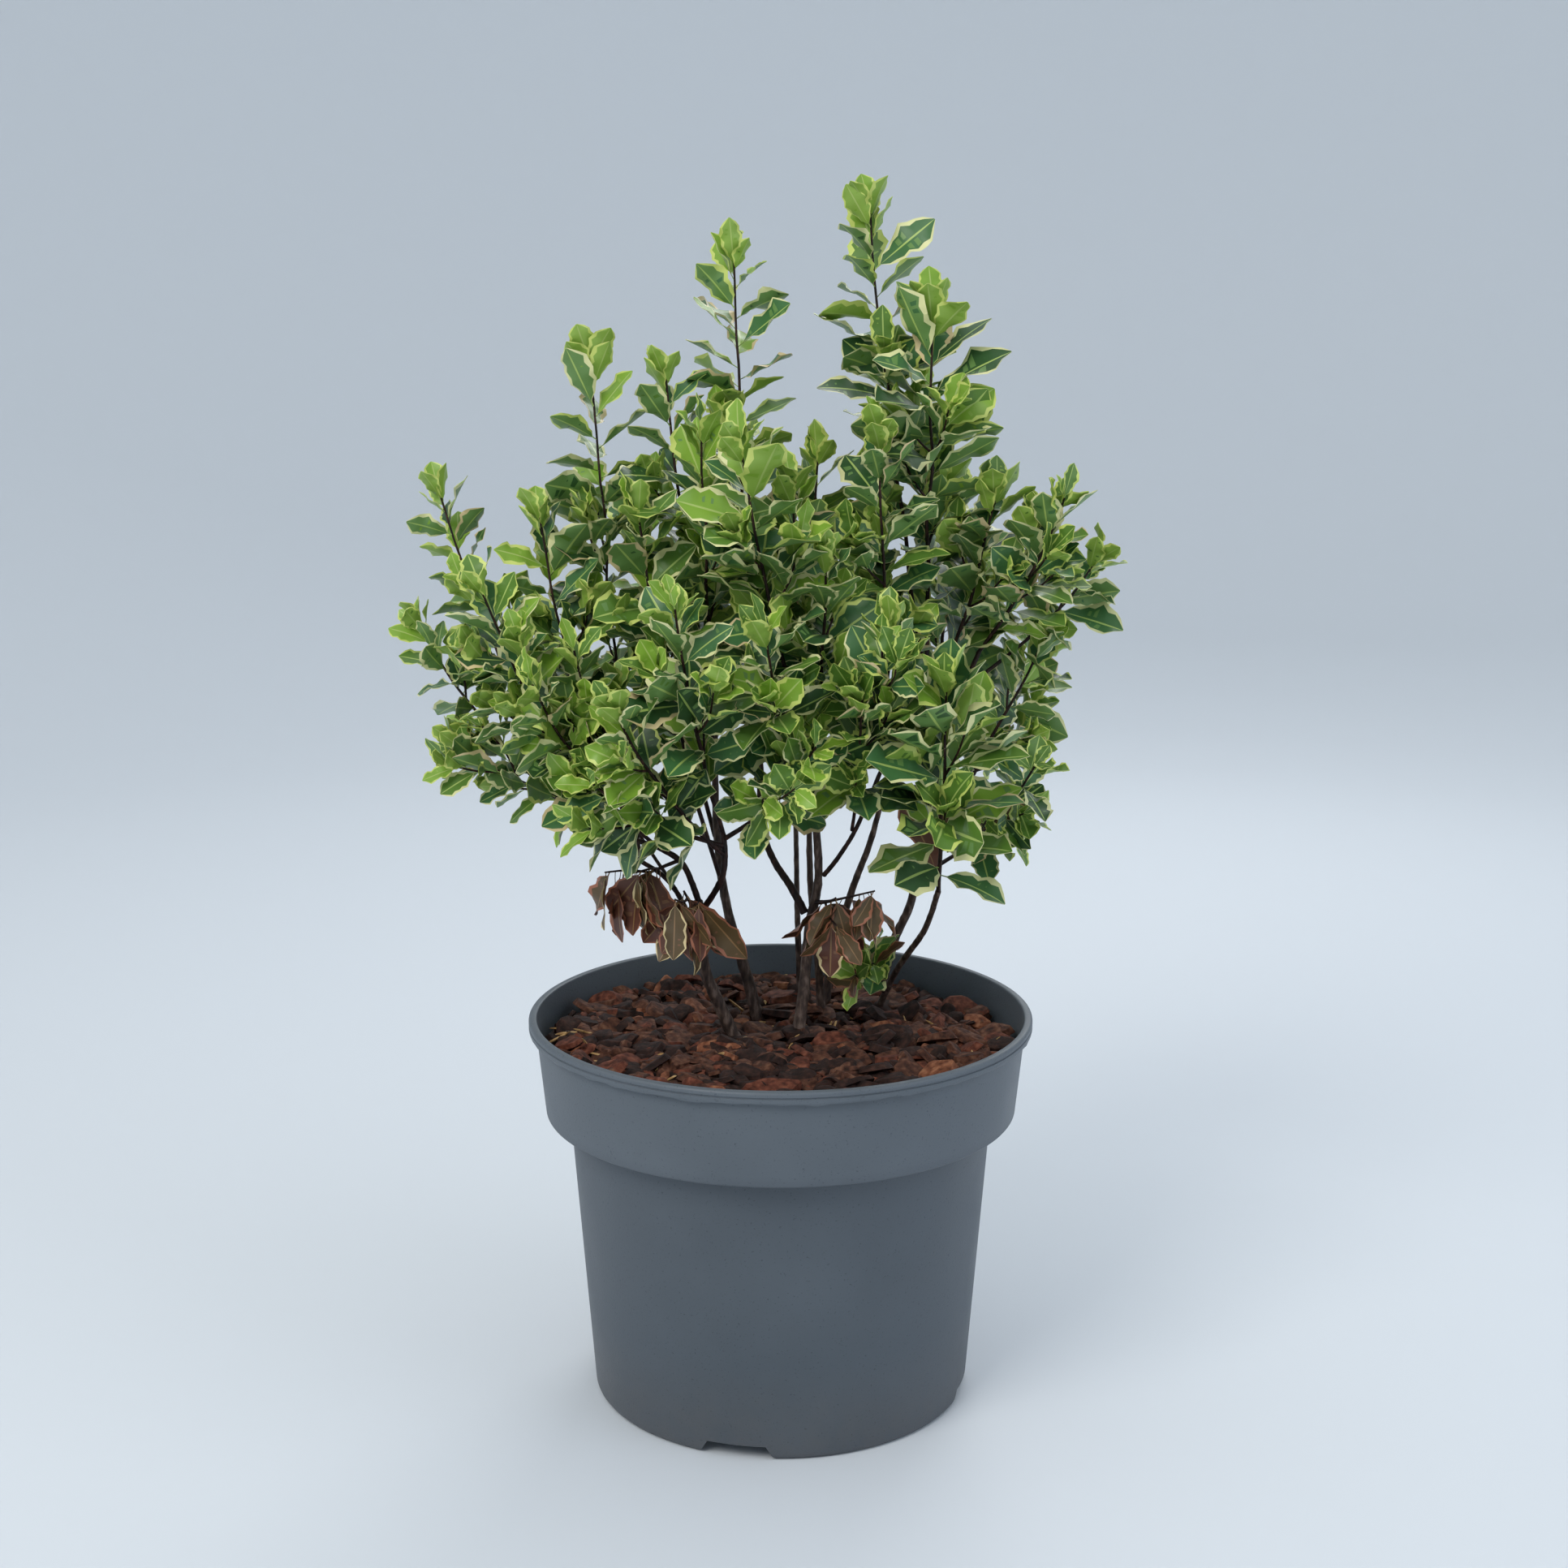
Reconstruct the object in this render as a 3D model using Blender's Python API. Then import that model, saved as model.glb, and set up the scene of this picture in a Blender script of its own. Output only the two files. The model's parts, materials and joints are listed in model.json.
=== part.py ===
"""A variegated evergreen shrub in a round nursery pot, filled with bark mulch.

Metres, +Z up. The origin is the centre of the pot's flat underside, and the
front of the plant looks along -Y.
"""
import itertools
import math
import random

import bmesh
import bpy
from mathutils import Matrix, Vector
from mathutils.bvhtree import BVHTree

# Pot: an injection-moulded nursery pot, 28 cm across the rim
POT_HEIGHT = 0.217
RIM_RADIUS = 0.140
RIM_LIP_HEIGHT = 0.0065
WALL = 0.0020
COLLAR_FOOT_HEIGHT = 0.1632
COLLAR_FOOT_RADIUS = 0.1313
COLLAR_TOP_RADIUS = 0.1362
BODY_TOP_RADIUS = 0.1180
BODY_FOOT_RADIUS = 0.1060
EDGE_ROUND = 0.0040
FLOOR_RISE = 0.0080
FOOT_RING_WIDTH = 0.0075
CENTRE_DISC_RADIUS = 0.036
POT_SIDES = 40

# Drain notches in the foot ring, and drain holes in the raised floor
NOTCH_COUNT = 4
NOTCH_FOOT_WIDTH = 0.046
NOTCH_TOP_WIDTH = 0.032
NOTCH_HEIGHT = 0.0075
NOTCH_BEARING = math.radians(-103.0)
HOLE_COUNT = 4
HOLE_RADIUS = 0.0075
HOLE_CIRCLE = 0.068

# Bark mulch that fills the pot
MULCH_LEVEL = 0.2035
MULCH_RELIEF = 0.0045
MULCH_RINGS = 6
MULCH_SIDES = 32
CLEAR_ROUND_STEM = 0.030

# Clearance between neighbouring solids
GAP = 0.0003

# Leaves and twigs
LEAF_SPACING = 0.0225
LEAF_THICKNESS = 0.0016
LEAF_ROOT_DEPTH = 0.0004
LEAF_WIDEST = 0.60
LEAF_ARCH = 0.05
LEAF_WIDTH_SHARE = 0.52
LEAF_TURN = math.radians(120.0)
LEAF_ROOT_CLEAR = 0.0028
LEAF_TURN_SPREAD = math.radians(24.0)
OTHER_TURNS = [math.radians(degrees) for degrees in (0.0, 120.0, -120.0)]
OTHER_SIZES = (1.0, 0.86, 0.72)
TWIG_LENGTH = 0.034
TIP_LEAVES = 4
TIP_SPACING = 0.0040
LIMB_SIDES = 6
LIMB_RINGS = 7
TWIG_SIDES = 3
STEM_RINGS = 6
SLIVER = 2e-5
THINNEST = 5e-6
ATTEMPTS = 60

# Stems and boughs. A stem stands on the mulch; a bough leaves its parent at a
# share of the parent's length, and 1.0 is the parent's tip. The rest are the
# radii at foot and tip, and the places that the limb passes through.
LIMBS = {
    "stem_left": (None, 0.0, 0.0040, 0.0027, [
        (-0.024, -0.003, MULCH_LEVEL), (-0.032, -0.008, 0.218),
        (-0.042, -0.013, 0.246), (-0.045, -0.016, 0.284)]),
    "stem_left_back": (None, 0.0, 0.0038, 0.0016, [
        (-0.012, 0.033, MULCH_LEVEL), (-0.019, 0.032, 0.226),
        (-0.030, 0.031, 0.266), (-0.036, 0.034, 0.310), (-0.037, 0.040, 0.368)]),
    "stem_middle": (None, 0.0, 0.0036, 0.0016, [
        (0.009, -0.003, MULCH_LEVEL), (0.013, 0.001, 0.228),
        (0.016, 0.007, 0.262), (0.021, 0.006, 0.292), (0.019, 0.000, 0.330),
        (0.018, -0.008, 0.364)]),
    "stem_middle_back": (None, 0.0, 0.0025, 0.0012, [
        (0.024, 0.046, MULCH_LEVEL), (0.021, 0.044, 0.240),
        (0.017, 0.040, 0.280), (0.016, 0.042, 0.330), (0.015, 0.045, 0.372)]),
    "stem_thin": (None, 0.0, 0.0021, 0.0011, [
        (0.012, 0.078, MULCH_LEVEL), (0.010, 0.077, 0.246),
        (0.009, 0.072, 0.300), (0.008, 0.068, 0.345)]),
    "stem_fork": (None, 0.0, 0.0027, 0.0014, [
        (0.026, 0.068, MULCH_LEVEL), (0.031, 0.067, 0.232),
        (0.042, 0.061, 0.272), (0.052, 0.055, 0.302), (0.062, 0.050, 0.344)]),
    "stem_back_right": (None, 0.0, 0.0030, 0.0016, [
        (0.060, 0.104, MULCH_LEVEL), (0.069, 0.103, 0.230),
        (0.079, 0.099, 0.258), (0.084, 0.086, 0.312), (0.084, 0.070, 0.366),
        (0.083, 0.058, 0.402)]),
    "stem_front_right": (None, 0.0, 0.0020, 0.0016, [
        (0.056, 0.058, MULCH_LEVEL), (0.067, 0.040, 0.229),
        (0.081, 0.019, 0.258), (0.087, -0.002, 0.286)]),
    "bough_left_low": ("stem_left", 1.0, 0.0018, 0.0012, [
        (-0.053, -0.012, 0.303), (-0.066, -0.010, 0.312),
        (-0.082, -0.009, 0.318), (-0.100, -0.008, 0.332)]),
    "bough_left_under": ("stem_left", 0.80, 0.0015, 0.0011, [
        (-0.062, 0.004, 0.290), (-0.087, 0.013, 0.305), (-0.113, 0.021, 0.322)]),
    "bough_hub": ("stem_left", 0.90, 0.0018, 0.0015, [
        (-0.032, -0.024, 0.298), (-0.030, -0.026, 0.313), (-0.031, -0.027, 0.324)]),
    "bough_middle_left": ("stem_middle", 0.42, 0.0024, 0.0015, [
        (0.006, 0.014, 0.284), (-0.004, 0.022, 0.298),
        (-0.010, 0.028, 0.314), (-0.012, 0.034, 0.340)]),
    "bough_diagonal": ("stem_middle", 0.58, 0.0014, 0.0011, [
        (0.032, -0.004, 0.306), (0.042, -0.014, 0.326), (0.056, -0.032, 0.366)]),
    "bough_right": ("stem_back_right", 0.72, 0.0017, 0.0013, [
        (0.092, 0.064, 0.368), (0.104, 0.056, 0.392), (0.112, 0.050, 0.412)]),
}

# Foliage shoots, one mass each: the limb that carries it and the share of that
# limb's length, the tip of its stem, the share of the stem that is bare, the
# length of a full leaf, the count of side twigs and how the leaves hang.
UPRIGHT, SPREADING, HANGING = 0.0, 0.4, 1.0
SHOOTS = {
    "foliage_left_low": ("bough_left_low", 1.0, (-0.176, 0.000, 0.368), 0.10, 0.030, 1, UPRIGHT),
    "foliage_left_middle": ("bough_left_low", 0.90, (-0.157, -0.030, 0.456), 0.12, 0.036, 2, UPRIGHT),
    "foliage_left_front": ("bough_left_low", 0.55, (-0.128, -0.060, 0.410), 0.10, 0.035, 2, UPRIGHT),
    "foliage_left_inner": ("bough_left_low", 0.70, (-0.108, -0.040, 0.425), 0.15, 0.033, 1, UPRIGHT),
    "foliage_left_far": ("bough_left_under", 1.0, (-0.202, 0.035, 0.432), 0.22, 0.030, 0, UPRIGHT),
    "foliage_left_high": ("bough_left_under", 0.86, (-0.191, 0.060, 0.500), 0.30, 0.032, 1, UPRIGHT),
    "foliage_left_tall": ("bough_left_under", 0.72, (-0.131, 0.020, 0.490), 0.25, 0.034, 2, UPRIGHT),
    "foliage_left_top": ("bough_left_under", 0.55, (-0.105, 0.052, 0.575), 0.35, 0.036, 2, UPRIGHT),
    "foliage_back_left_low": ("bough_left_under", 0.35, (-0.140, 0.125, 0.405), 0.20, 0.036, 2, SPREADING),
    "foliage_centre_left": ("stem_left_back", 0.60, (-0.077, 0.000, 0.498), 0.25, 0.035, 2, UPRIGHT),
    "foliage_centre_left_tall": ("stem_left_back", 1.0, (-0.063, 0.045, 0.566), 0.22, 0.035, 1, UPRIGHT),
    "foliage_centre_front": ("stem_left_back", 0.85, (-0.042, 0.000, 0.534), 0.28, 0.038, 1, UPRIGHT),
    "foliage_back_left": ("stem_left_back", 0.72, (-0.082, 0.115, 0.500), 0.20, 0.038, 2, UPRIGHT),
    "foliage_hub_front": ("bough_hub", 1.0, (-0.053, -0.084, 0.452), 0.20, 0.038, 1, UPRIGHT),
    "foliage_hub_left": ("bough_hub", 0.75, (-0.098, -0.072, 0.362), 0.12, 0.036, 1, SPREADING),
    "foliage_hub_right": ("bough_hub", 0.85, (0.018, -0.074, 0.380), 0.15, 0.034, 1, SPREADING),
    "foliage_front_left": ("bough_hub", 0.60, (-0.084, -0.088, 0.402), 0.25, 0.034, 0, UPRIGHT),
    "foliage_centre": ("stem_middle", 1.0, (-0.021, -0.030, 0.532), 0.10, 0.040, 1, UPRIGHT),
    "foliage_centre_right": ("stem_middle", 0.88, (0.024, -0.028, 0.474), 0.18, 0.034, 1, UPRIGHT),
    "foliage_front": ("stem_middle", 0.76, (-0.008, -0.078, 0.440), 0.22, 0.036, 2, UPRIGHT),
    "foliage_top_left": ("bough_middle_left", 1.0, (-0.026, 0.075, 0.628), 0.28, 0.038, 2, UPRIGHT),
    "foliage_back_centre": ("bough_middle_left", 0.75, (-0.022, 0.135, 0.520), 0.25, 0.038, 2, UPRIGHT),
    "foliage_inner_right": ("stem_middle_back", 1.0, (0.006, 0.020, 0.506), 0.15, 0.035, 1, UPRIGHT),
    "foliage_inner_back": ("stem_thin", 1.0, (0.021, 0.072, 0.520), 0.15, 0.036, 1, UPRIGHT),
    "foliage_back_middle": ("stem_thin", 0.75, (0.034, 0.150, 0.470), 0.22, 0.038, 2, UPRIGHT),
    "foliage_right_front": ("stem_fork", 1.0, (0.053, 0.000, 0.536), 0.20, 0.036, 2, UPRIGHT),
    "foliage_top": ("stem_back_right", 0.93, (0.049, 0.066, 0.656), 0.25, 0.040, 1, UPRIGHT),
    "foliage_top_right": ("stem_back_right", 1.0, (0.082, 0.030, 0.602), 0.10, 0.044, 3, UPRIGHT),
    "foliage_right_inner": ("stem_back_right", 0.84, (0.118, 0.034, 0.500), 0.22, 0.040, 1, UPRIGHT),
    "foliage_back_right": ("stem_back_right", 0.74, (0.108, 0.150, 0.490), 0.20, 0.040, 2, UPRIGHT),
    "foliage_back_right_low": ("stem_back_right", 0.50, (0.150, 0.135, 0.400), 0.20, 0.038, 2, SPREADING),
    "foliage_right_thin": ("stem_back_right", 0.56, (0.150, 0.062, 0.420), 0.35, 0.030, 0, UPRIGHT),
    "foliage_right_low": ("stem_back_right", 0.44, (0.140, 0.004, 0.356), 0.35, 0.032, 1, SPREADING),
    "foliage_right": ("bough_right", 1.0, (0.154, 0.020, 0.500), 0.10, 0.036, 1, UPRIGHT),
    "foliage_right_far": ("bough_right", 0.60, (0.180, 0.072, 0.462), 0.30, 0.034, 0, SPREADING),
    "foliage_front_right": ("stem_front_right", 1.0, (0.085, -0.066, 0.408), 0.02, 0.050, 1, UPRIGHT),
    "foliage_right_middle": ("bough_diagonal", 1.0, (0.052, -0.062, 0.430), 0.05, 0.036, 1, UPRIGHT),
    "foliage_front_middle": ("bough_diagonal", 0.60, (0.042, -0.064, 0.404), 0.12, 0.034, 0, UPRIGHT),
    "old_leaves_left": ("stem_left", 0.92, (-0.052, -0.034, 0.294), 0.10, 0.038, 0, HANGING),
    "old_leaves_bough": ("bough_left_low", 0.30, (-0.076, -0.026, 0.300), 0.20, 0.038, 0, HANGING),
    "old_leaves_middle": ("stem_middle", 0.50, (0.030, -0.018, 0.286), 0.30, 0.030, 0, HANGING),
    "old_leaves_foot": ("stem_front_right", 0.16, (0.052, 0.014, 0.240), 0.20, 0.034, 0, SPREADING),
}


def named_material(name, colour, roughness, metallic=0.0):
    """A plain material with one base colour."""
    material = bpy.data.materials.new(name)
    material.use_nodes = True
    shader = material.node_tree.nodes["Principled BSDF"]
    shader.inputs["Base Color"].default_value = (*colour, 1.0)
    shader.inputs["Roughness"].default_value = roughness
    shader.inputs["Metallic"].default_value = metallic
    return material


def add_object(name, mesh, material, smooth_degrees=None):
    """Put a mesh in the scene under the node's name."""
    mesh.name = name
    mesh.materials.append(material)
    if smooth_degrees is not None:
        mesh.shade_smooth()
        mesh.set_sharp_from_angle(angle=math.radians(smooth_degrees))
    thing = bpy.data.objects.new(name, mesh)
    bpy.context.scene.collection.objects.link(thing)
    return thing


def mesh_from(bm):
    """Close a bmesh into a mesh."""
    bmesh.ops.recalc_face_normals(bm, faces=bm.faces)
    mesh = bpy.data.meshes.new("shape")
    bm.to_mesh(mesh)
    bm.free()
    return mesh


def turned(profile, sides):
    """Turn an outline of (radius, height) round the Z axis; ends lie on the axis."""
    bm = bmesh.new()
    rings = []
    for radius, height in profile:
        if radius == 0.0:
            rings.append([bm.verts.new((0.0, 0.0, height))])
            continue
        ring = []
        for side in range(sides):
            angle = math.tau * side / sides
            ring.append(bm.verts.new((radius * math.cos(angle), radius * math.sin(angle), height)))
        rings.append(ring)
    for lower, upper in zip(rings, rings[1:]):
        for side in range(sides):
            after = (side + 1) % sides
            corners = [lower[side % len(lower)], lower[after % len(lower)],
                       upper[after % len(upper)], upper[side % len(upper)]]
            bm.faces.new(list(dict.fromkeys(corners)))
    return mesh_from(bm)


def boolean(target, operation, solver, thing=None, collection=None):
    """Cut or join with one object or a collection, apply it, and drop the tools."""
    modifier = target.modifiers.new("join", "BOOLEAN")
    modifier.operation = operation
    modifier.solver = solver
    if collection is not None:
        modifier.operand_type = "COLLECTION"
        modifier.collection = collection
        tools = list(collection.objects)
    else:
        modifier.object = thing
        tools = [thing]
    bpy.context.view_layer.update()
    evaluated = target.evaluated_get(bpy.context.evaluated_depsgraph_get())
    result = bpy.data.meshes.new_from_object(evaluated)
    target.modifiers.clear()
    old_mesh = target.data
    name = old_mesh.name
    target.data = result
    bpy.data.meshes.remove(old_mesh)
    result.name = name
    for tool in tools:
        bpy.data.objects.remove(tool)
    if collection is not None:
        bpy.data.collections.remove(collection)


def pot_profile():
    """Outline of the pot's wall: up the outside, over the rim, down the inside."""
    lip_foot = POT_HEIGHT - RIM_LIP_HEIGHT
    ring_inner = BODY_FOOT_RADIUS - EDGE_ROUND - FOOT_RING_WIDTH
    rim_inner = RIM_RADIUS - 0.0045
    collar_inner = COLLAR_FOOT_RADIUS - WALL
    body_inner = BODY_TOP_RADIUS - WALL
    floor_top = FLOOR_RISE + WALL
    return [
        (0.0, 0.0),
        (CENTRE_DISC_RADIUS, 0.0),
        (CENTRE_DISC_RADIUS + 0.003, FLOOR_RISE),
        (ring_inner - 0.001, FLOOR_RISE),
        (ring_inner, 0.0),
        (BODY_FOOT_RADIUS - EDGE_ROUND, 0.0),
        (BODY_FOOT_RADIUS - 0.3 * EDGE_ROUND, 0.3 * EDGE_ROUND),
        (BODY_FOOT_RADIUS, EDGE_ROUND),
        (BODY_TOP_RADIUS, COLLAR_FOOT_HEIGHT),
        (COLLAR_FOOT_RADIUS - 0.0010, COLLAR_FOOT_HEIGHT),
        (COLLAR_FOOT_RADIUS, COLLAR_FOOT_HEIGHT + 0.0012),
        (COLLAR_TOP_RADIUS, lip_foot),
        (RIM_RADIUS, lip_foot + 0.0015),
        (RIM_RADIUS, POT_HEIGHT - 0.0010),
        (RIM_RADIUS - 0.0010, POT_HEIGHT),
        (rim_inner, POT_HEIGHT),
        (COLLAR_TOP_RADIUS - WALL, lip_foot - 0.002),
        (collar_inner, COLLAR_FOOT_HEIGHT + WALL),
        (body_inner, COLLAR_FOOT_HEIGHT + WALL - 0.0004),
        (BODY_FOOT_RADIUS - WALL, floor_top),
        (CENTRE_DISC_RADIUS + 0.003, floor_top),
        (CENTRE_DISC_RADIUS, WALL),
        (0.0, WALL),
    ]


def inner_radius(height):
    """Radius of the pot's inner wall at a height, for what fills it."""
    low, high = FLOOR_RISE + WALL + 0.003, COLLAR_FOOT_HEIGHT + WALL
    if height < high:
        share = (height - low) / (high - low)
        return BODY_FOOT_RADIUS - WALL + share * (BODY_TOP_RADIUS - BODY_FOOT_RADIUS)
    share = (height - high) / (POT_HEIGHT - RIM_LIP_HEIGHT - 0.002 - high)
    return COLLAR_FOOT_RADIUS - WALL + share * (COLLAR_TOP_RADIUS - COLLAR_FOOT_RADIUS)


def notch_cutter():
    """A wedge that cuts one drain notch through the foot ring."""
    bm = bmesh.new()
    bmesh.ops.create_cube(bm, size=1.0)
    depth = 0.030
    for vert in bm.verts:
        top = vert.co.z > 0
        width = NOTCH_TOP_WIDTH if top else NOTCH_FOOT_WIDTH
        vert.co.x *= depth
        vert.co.y *= width
        vert.co.z = NOTCH_HEIGHT if top else -0.004
    return mesh_from(bm)


def build_pot():
    """The pot with its notches and drain holes."""
    plastic = named_material("grey_plastic", (0.085, 0.108, 0.130), 0.42)
    pot = add_object("pot", turned(pot_profile(), POT_SIDES), plastic, 35.0)
    cutters = bpy.data.collections.new("pot_cutters")
    bpy.context.scene.collection.children.link(cutters)
    for index in range(NOTCH_COUNT):
        bearing = NOTCH_BEARING + math.tau * index / NOTCH_COUNT
        cutter = bpy.data.objects.new("notch", notch_cutter())
        reach = BODY_FOOT_RADIUS - 0.004
        cutter.location = (reach * math.cos(bearing), reach * math.sin(bearing), 0.0)
        cutter.rotation_euler = (0.0, 0.0, bearing)
        cutters.objects.link(cutter)
    for index in range(HOLE_COUNT):
        bearing = NOTCH_BEARING + math.tau * (index + 0.5) / HOLE_COUNT
        bm = bmesh.new()
        bmesh.ops.create_cone(bm, cap_ends=True, segments=12, radius1=HOLE_RADIUS,
                              radius2=HOLE_RADIUS, depth=0.020)
        cutter = bpy.data.objects.new("hole", mesh_from(bm))
        cutter.location = (HOLE_CIRCLE * math.cos(bearing), HOLE_CIRCLE * math.sin(bearing),
                           FLOOR_RISE)
        cutters.objects.link(cutter)
    boolean(pot, "DIFFERENCE", "EXACT", collection=cutters)
    return pot


def mulch_height(x, y):
    """Height of the bark's surface: lumpy, and level round each stem."""
    lumps = (math.sin(131.0 * x + 1.7) * math.cos(117.0 * y - 0.6)
             + 0.6 * math.sin(211.0 * y + 173.0 * x))
    height = MULCH_RELIEF * (0.5 + 0.30 * lumps)
    for parent, _, _, _, places in LIMBS.values():
        if parent is None:
            distance = math.hypot(x - places[0][0], y - places[0][1])
            height = min(height, 0.55 * max(0.0, distance - CLEAR_ROUND_STEM))
    return MULCH_LEVEL - GAP + height


def build_mulch():
    """Bark and compost from the pot's floor to just under the rim."""
    bark = named_material("bark_mulch", (0.105, 0.036, 0.020), 0.85)
    floor_top = FLOOR_RISE + WALL + GAP
    step = COLLAR_FOOT_HEIGHT + WALL + GAP
    edge = inner_radius(MULCH_LEVEL) - 2 * GAP
    profile = [
        (0.0, floor_top),
        (BODY_FOOT_RADIUS - WALL - 0.004, floor_top),
        (inner_radius(floor_top + 0.004) - 2 * GAP, floor_top + 0.004),
        (BODY_TOP_RADIUS - WALL - 3 * GAP, step - 0.004),
        (BODY_TOP_RADIUS - WALL - 3 * GAP, step),
        (COLLAR_FOOT_RADIUS - WALL - 2 * GAP, step + GAP),
    ]
    for ring in range(MULCH_RINGS):
        profile.append((edge * (1.0 - ring / MULCH_RINGS), MULCH_LEVEL))
    profile.append((0.0, MULCH_LEVEL))
    mesh = turned(profile, MULCH_SIDES)
    for vert in mesh.vertices:
        if abs(vert.co.z - MULCH_LEVEL) < 1e-6:
            vert.co.z = mulch_height(vert.co.x, vert.co.y)
    return add_object("bark_mulch", mesh, bark)


def spline_point(places, share):
    """A point on the smooth curve through the places, at a share of their count."""
    spans = len(places) - 1
    scaled = min(max(share, 0.0), 1.0) * spans
    index = min(int(scaled), spans - 1)
    t = scaled - index
    before = places[max(index - 1, 0)]
    start, end = places[index], places[index + 1]
    after = places[min(index + 2, spans)]
    tangent_a = (end - before) * 0.5
    tangent_b = (after - start) * 0.5
    return (start * (2 * t ** 3 - 3 * t ** 2 + 1) + tangent_a * (t ** 3 - 2 * t ** 2 + t)
            + end * (3 * t ** 2 - 2 * t ** 3) + tangent_b * (t ** 3 - t ** 2))


def along(path, share):
    """Place and direction at a share of a path of many points."""
    scaled = min(max(share, 0.0), 1.0) * (len(path) - 1)
    index = min(int(scaled), len(path) - 2)
    place = path[index].lerp(path[index + 1], scaled - index)
    return place, (path[index + 1] - path[index]).normalized()


def frames(path, first_way=None):
    """Direction and one steady side direction at each point of a path."""
    result = []
    side_way = None
    for index in range(len(path)):
        ahead = path[min(index + 1, len(path) - 1)] - path[max(index - 1, 0)]
        ahead.normalize()
        if index == 0 and first_way is not None:
            ahead = first_way
        if side_way is None:
            side_way = ahead.orthogonal().normalized()
        else:
            side_way = (side_way - ahead * side_way.dot(ahead)).normalized()
        result.append((ahead, side_way))
    return result


def tube(path, radii, sides, first_way=None):
    """A closed tapering tube of a few sides round a path; first_way turns its foot."""
    bm = bmesh.new()
    rings = []
    for place, radius, (ahead, side_way) in zip(path, radii, frames(path, first_way)):
        other_way = ahead.cross(side_way)
        ring = []
        for side in range(sides):
            angle = math.tau * side / sides
            offset = side_way * math.cos(angle) + other_way * math.sin(angle)
            ring.append(bm.verts.new(place + offset * radius))
        rings.append(ring)
    for lower, upper in zip(rings, rings[1:]):
        for side in range(sides):
            after = (side + 1) % sides
            bm.faces.new((lower[side], lower[after], upper[after], upper[side]))
    bm.faces.new(rings[0])
    bm.faces.new(rings[-1])
    bmesh.ops.triangulate(bm, faces=bm.faces)
    return mesh_from(bm)


def side_foot(path, radii, share, toward, own_radius):
    """Where a side limb starts: just clear of its parent, on the side it leaves."""
    place, ahead = along(path, share)
    radius = radii[0] + (radii[-1] - radii[0]) * share
    if share >= 1.0:
        return path[-1] + ahead * GAP
    leave = (toward - place).normalized()
    across = leave - ahead * leave.dot(ahead)
    slant = max(across.length, 0.55)
    leave = (across.normalized() * slant + ahead * math.sqrt(1.0 - min(slant, 1.0) ** 2)
             * (1.0 if leave.dot(ahead) > 0 else -1.0)).normalized()
    sine = (leave - ahead * leave.dot(ahead)).length
    cosine = abs(leave.dot(ahead))
    distance = (radius + GAP * 1.6 + own_radius * cosine) / sine
    return place + leave * distance


def foot_way(paths, parent, share):
    """Which way a foot faces: up on the mulch, on along the parent at its tip."""
    if parent is None:
        return Vector((0.0, 0.0, 1.0))
    if share >= 1.0:
        return frames(paths[parent][0])[-1][0]
    return None


def limb_paths():
    """Path and radii of each stem and bough, parents first."""
    paths = {}
    for name, (parent, share, foot_radius, tip_radius, places) in LIMBS.items():
        places = [Vector(place) for place in places]
        if parent is not None:
            path, radii = paths[parent]
            places.insert(0, side_foot(path, radii, share, places[0], foot_radius))
        count = LIMB_RINGS
        path = [spline_point(places, i / (count - 1)) for i in range(count)]
        radii = []
        for i in range(count):
            radius = foot_radius + (tip_radius - foot_radius) * i / (count - 1)
            if parent is None and i == 0:
                radius *= 1.35
            radii.append(radius)
        if parent is None:
            path[0] = places[0].copy()
        paths[name] = (path, radii)
    return paths


def shoot_path(foot, tip, count):
    """A shoot that sets off outward and turns up to its tip."""
    rise = tip - foot
    length = rise.length
    outward = Vector((rise.x, rise.y, 0.0))
    bend = foot + rise * 0.5 + outward * 0.16 - Vector((0.0, 0.0, 0.035 * length))
    points = []
    for i in range(count):
        t = i / (count - 1)
        points.append(foot * (1 - t) ** 2 + bend * 2 * t * (1 - t) + tip * t ** 2)
    return points


def leaf_mesh(root, direction, face, length, grow=0.0):
    """A leaf of six faces: a point sunk in its twig, two sides, a rib and a tip.

    grow swells it on all sides, to test the room round it.
    """
    side = direction.cross(face).normalized()
    half = 0.5 * length * LEAF_WIDTH_SHARE + grow
    belly = LEAF_ARCH * length
    start = root - direction * (LEAF_ROOT_DEPTH + grow)
    left = root + direction * (LEAF_WIDEST * length) + side * half + face * belly
    right = root + direction * (LEAF_WIDEST * length) - side * half + face * belly
    tip = root + direction * (length + grow)
    rib = root + direction * (LEAF_WIDEST * length) + face * (LEAF_THICKNESS + belly + grow)
    verts = [start, left, right, tip, rib]
    if grow:
        verts = [vert - face * grow for vert in verts[:4]] + [rib]
    faces = [(0, 1, 4), (0, 4, 2), (4, 1, 3), (4, 3, 2), (0, 2, 1), (1, 2, 3)]
    return verts, faces


def leaf_blade(root, direction, face, length):
    """The part of a leaf that stands clear of its twig, swollen by the gap."""
    verts, faces = leaf_mesh(root, direction, face, length, GAP)
    return [vert if index else root + direction * LEAF_ROOT_CLEAR
            for index, vert in enumerate(verts)], faces


def tree_of(verts, faces):
    """Search tree of a mesh, for tests of touching."""
    return BVHTree.FromPolygons([tuple(v) for v in verts], faces)


def tree_of_mesh(mesh):
    """Search tree of an object's mesh."""
    return BVHTree.FromPolygons([v.co.copy() for v in mesh.vertices],
                                [tuple(p.vertices) for p in mesh.polygons])


def leaf_angle(distance, hang, chance):
    """Angle between a leaf and its twig: folded at the tip, wide lower down."""
    spread = min(distance / 0.060, 1.0)
    angle = 24.0 + 40.0 * spread + chance.uniform(-9.0, 9.0)
    return math.radians(angle + hang * 45.0)


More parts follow.
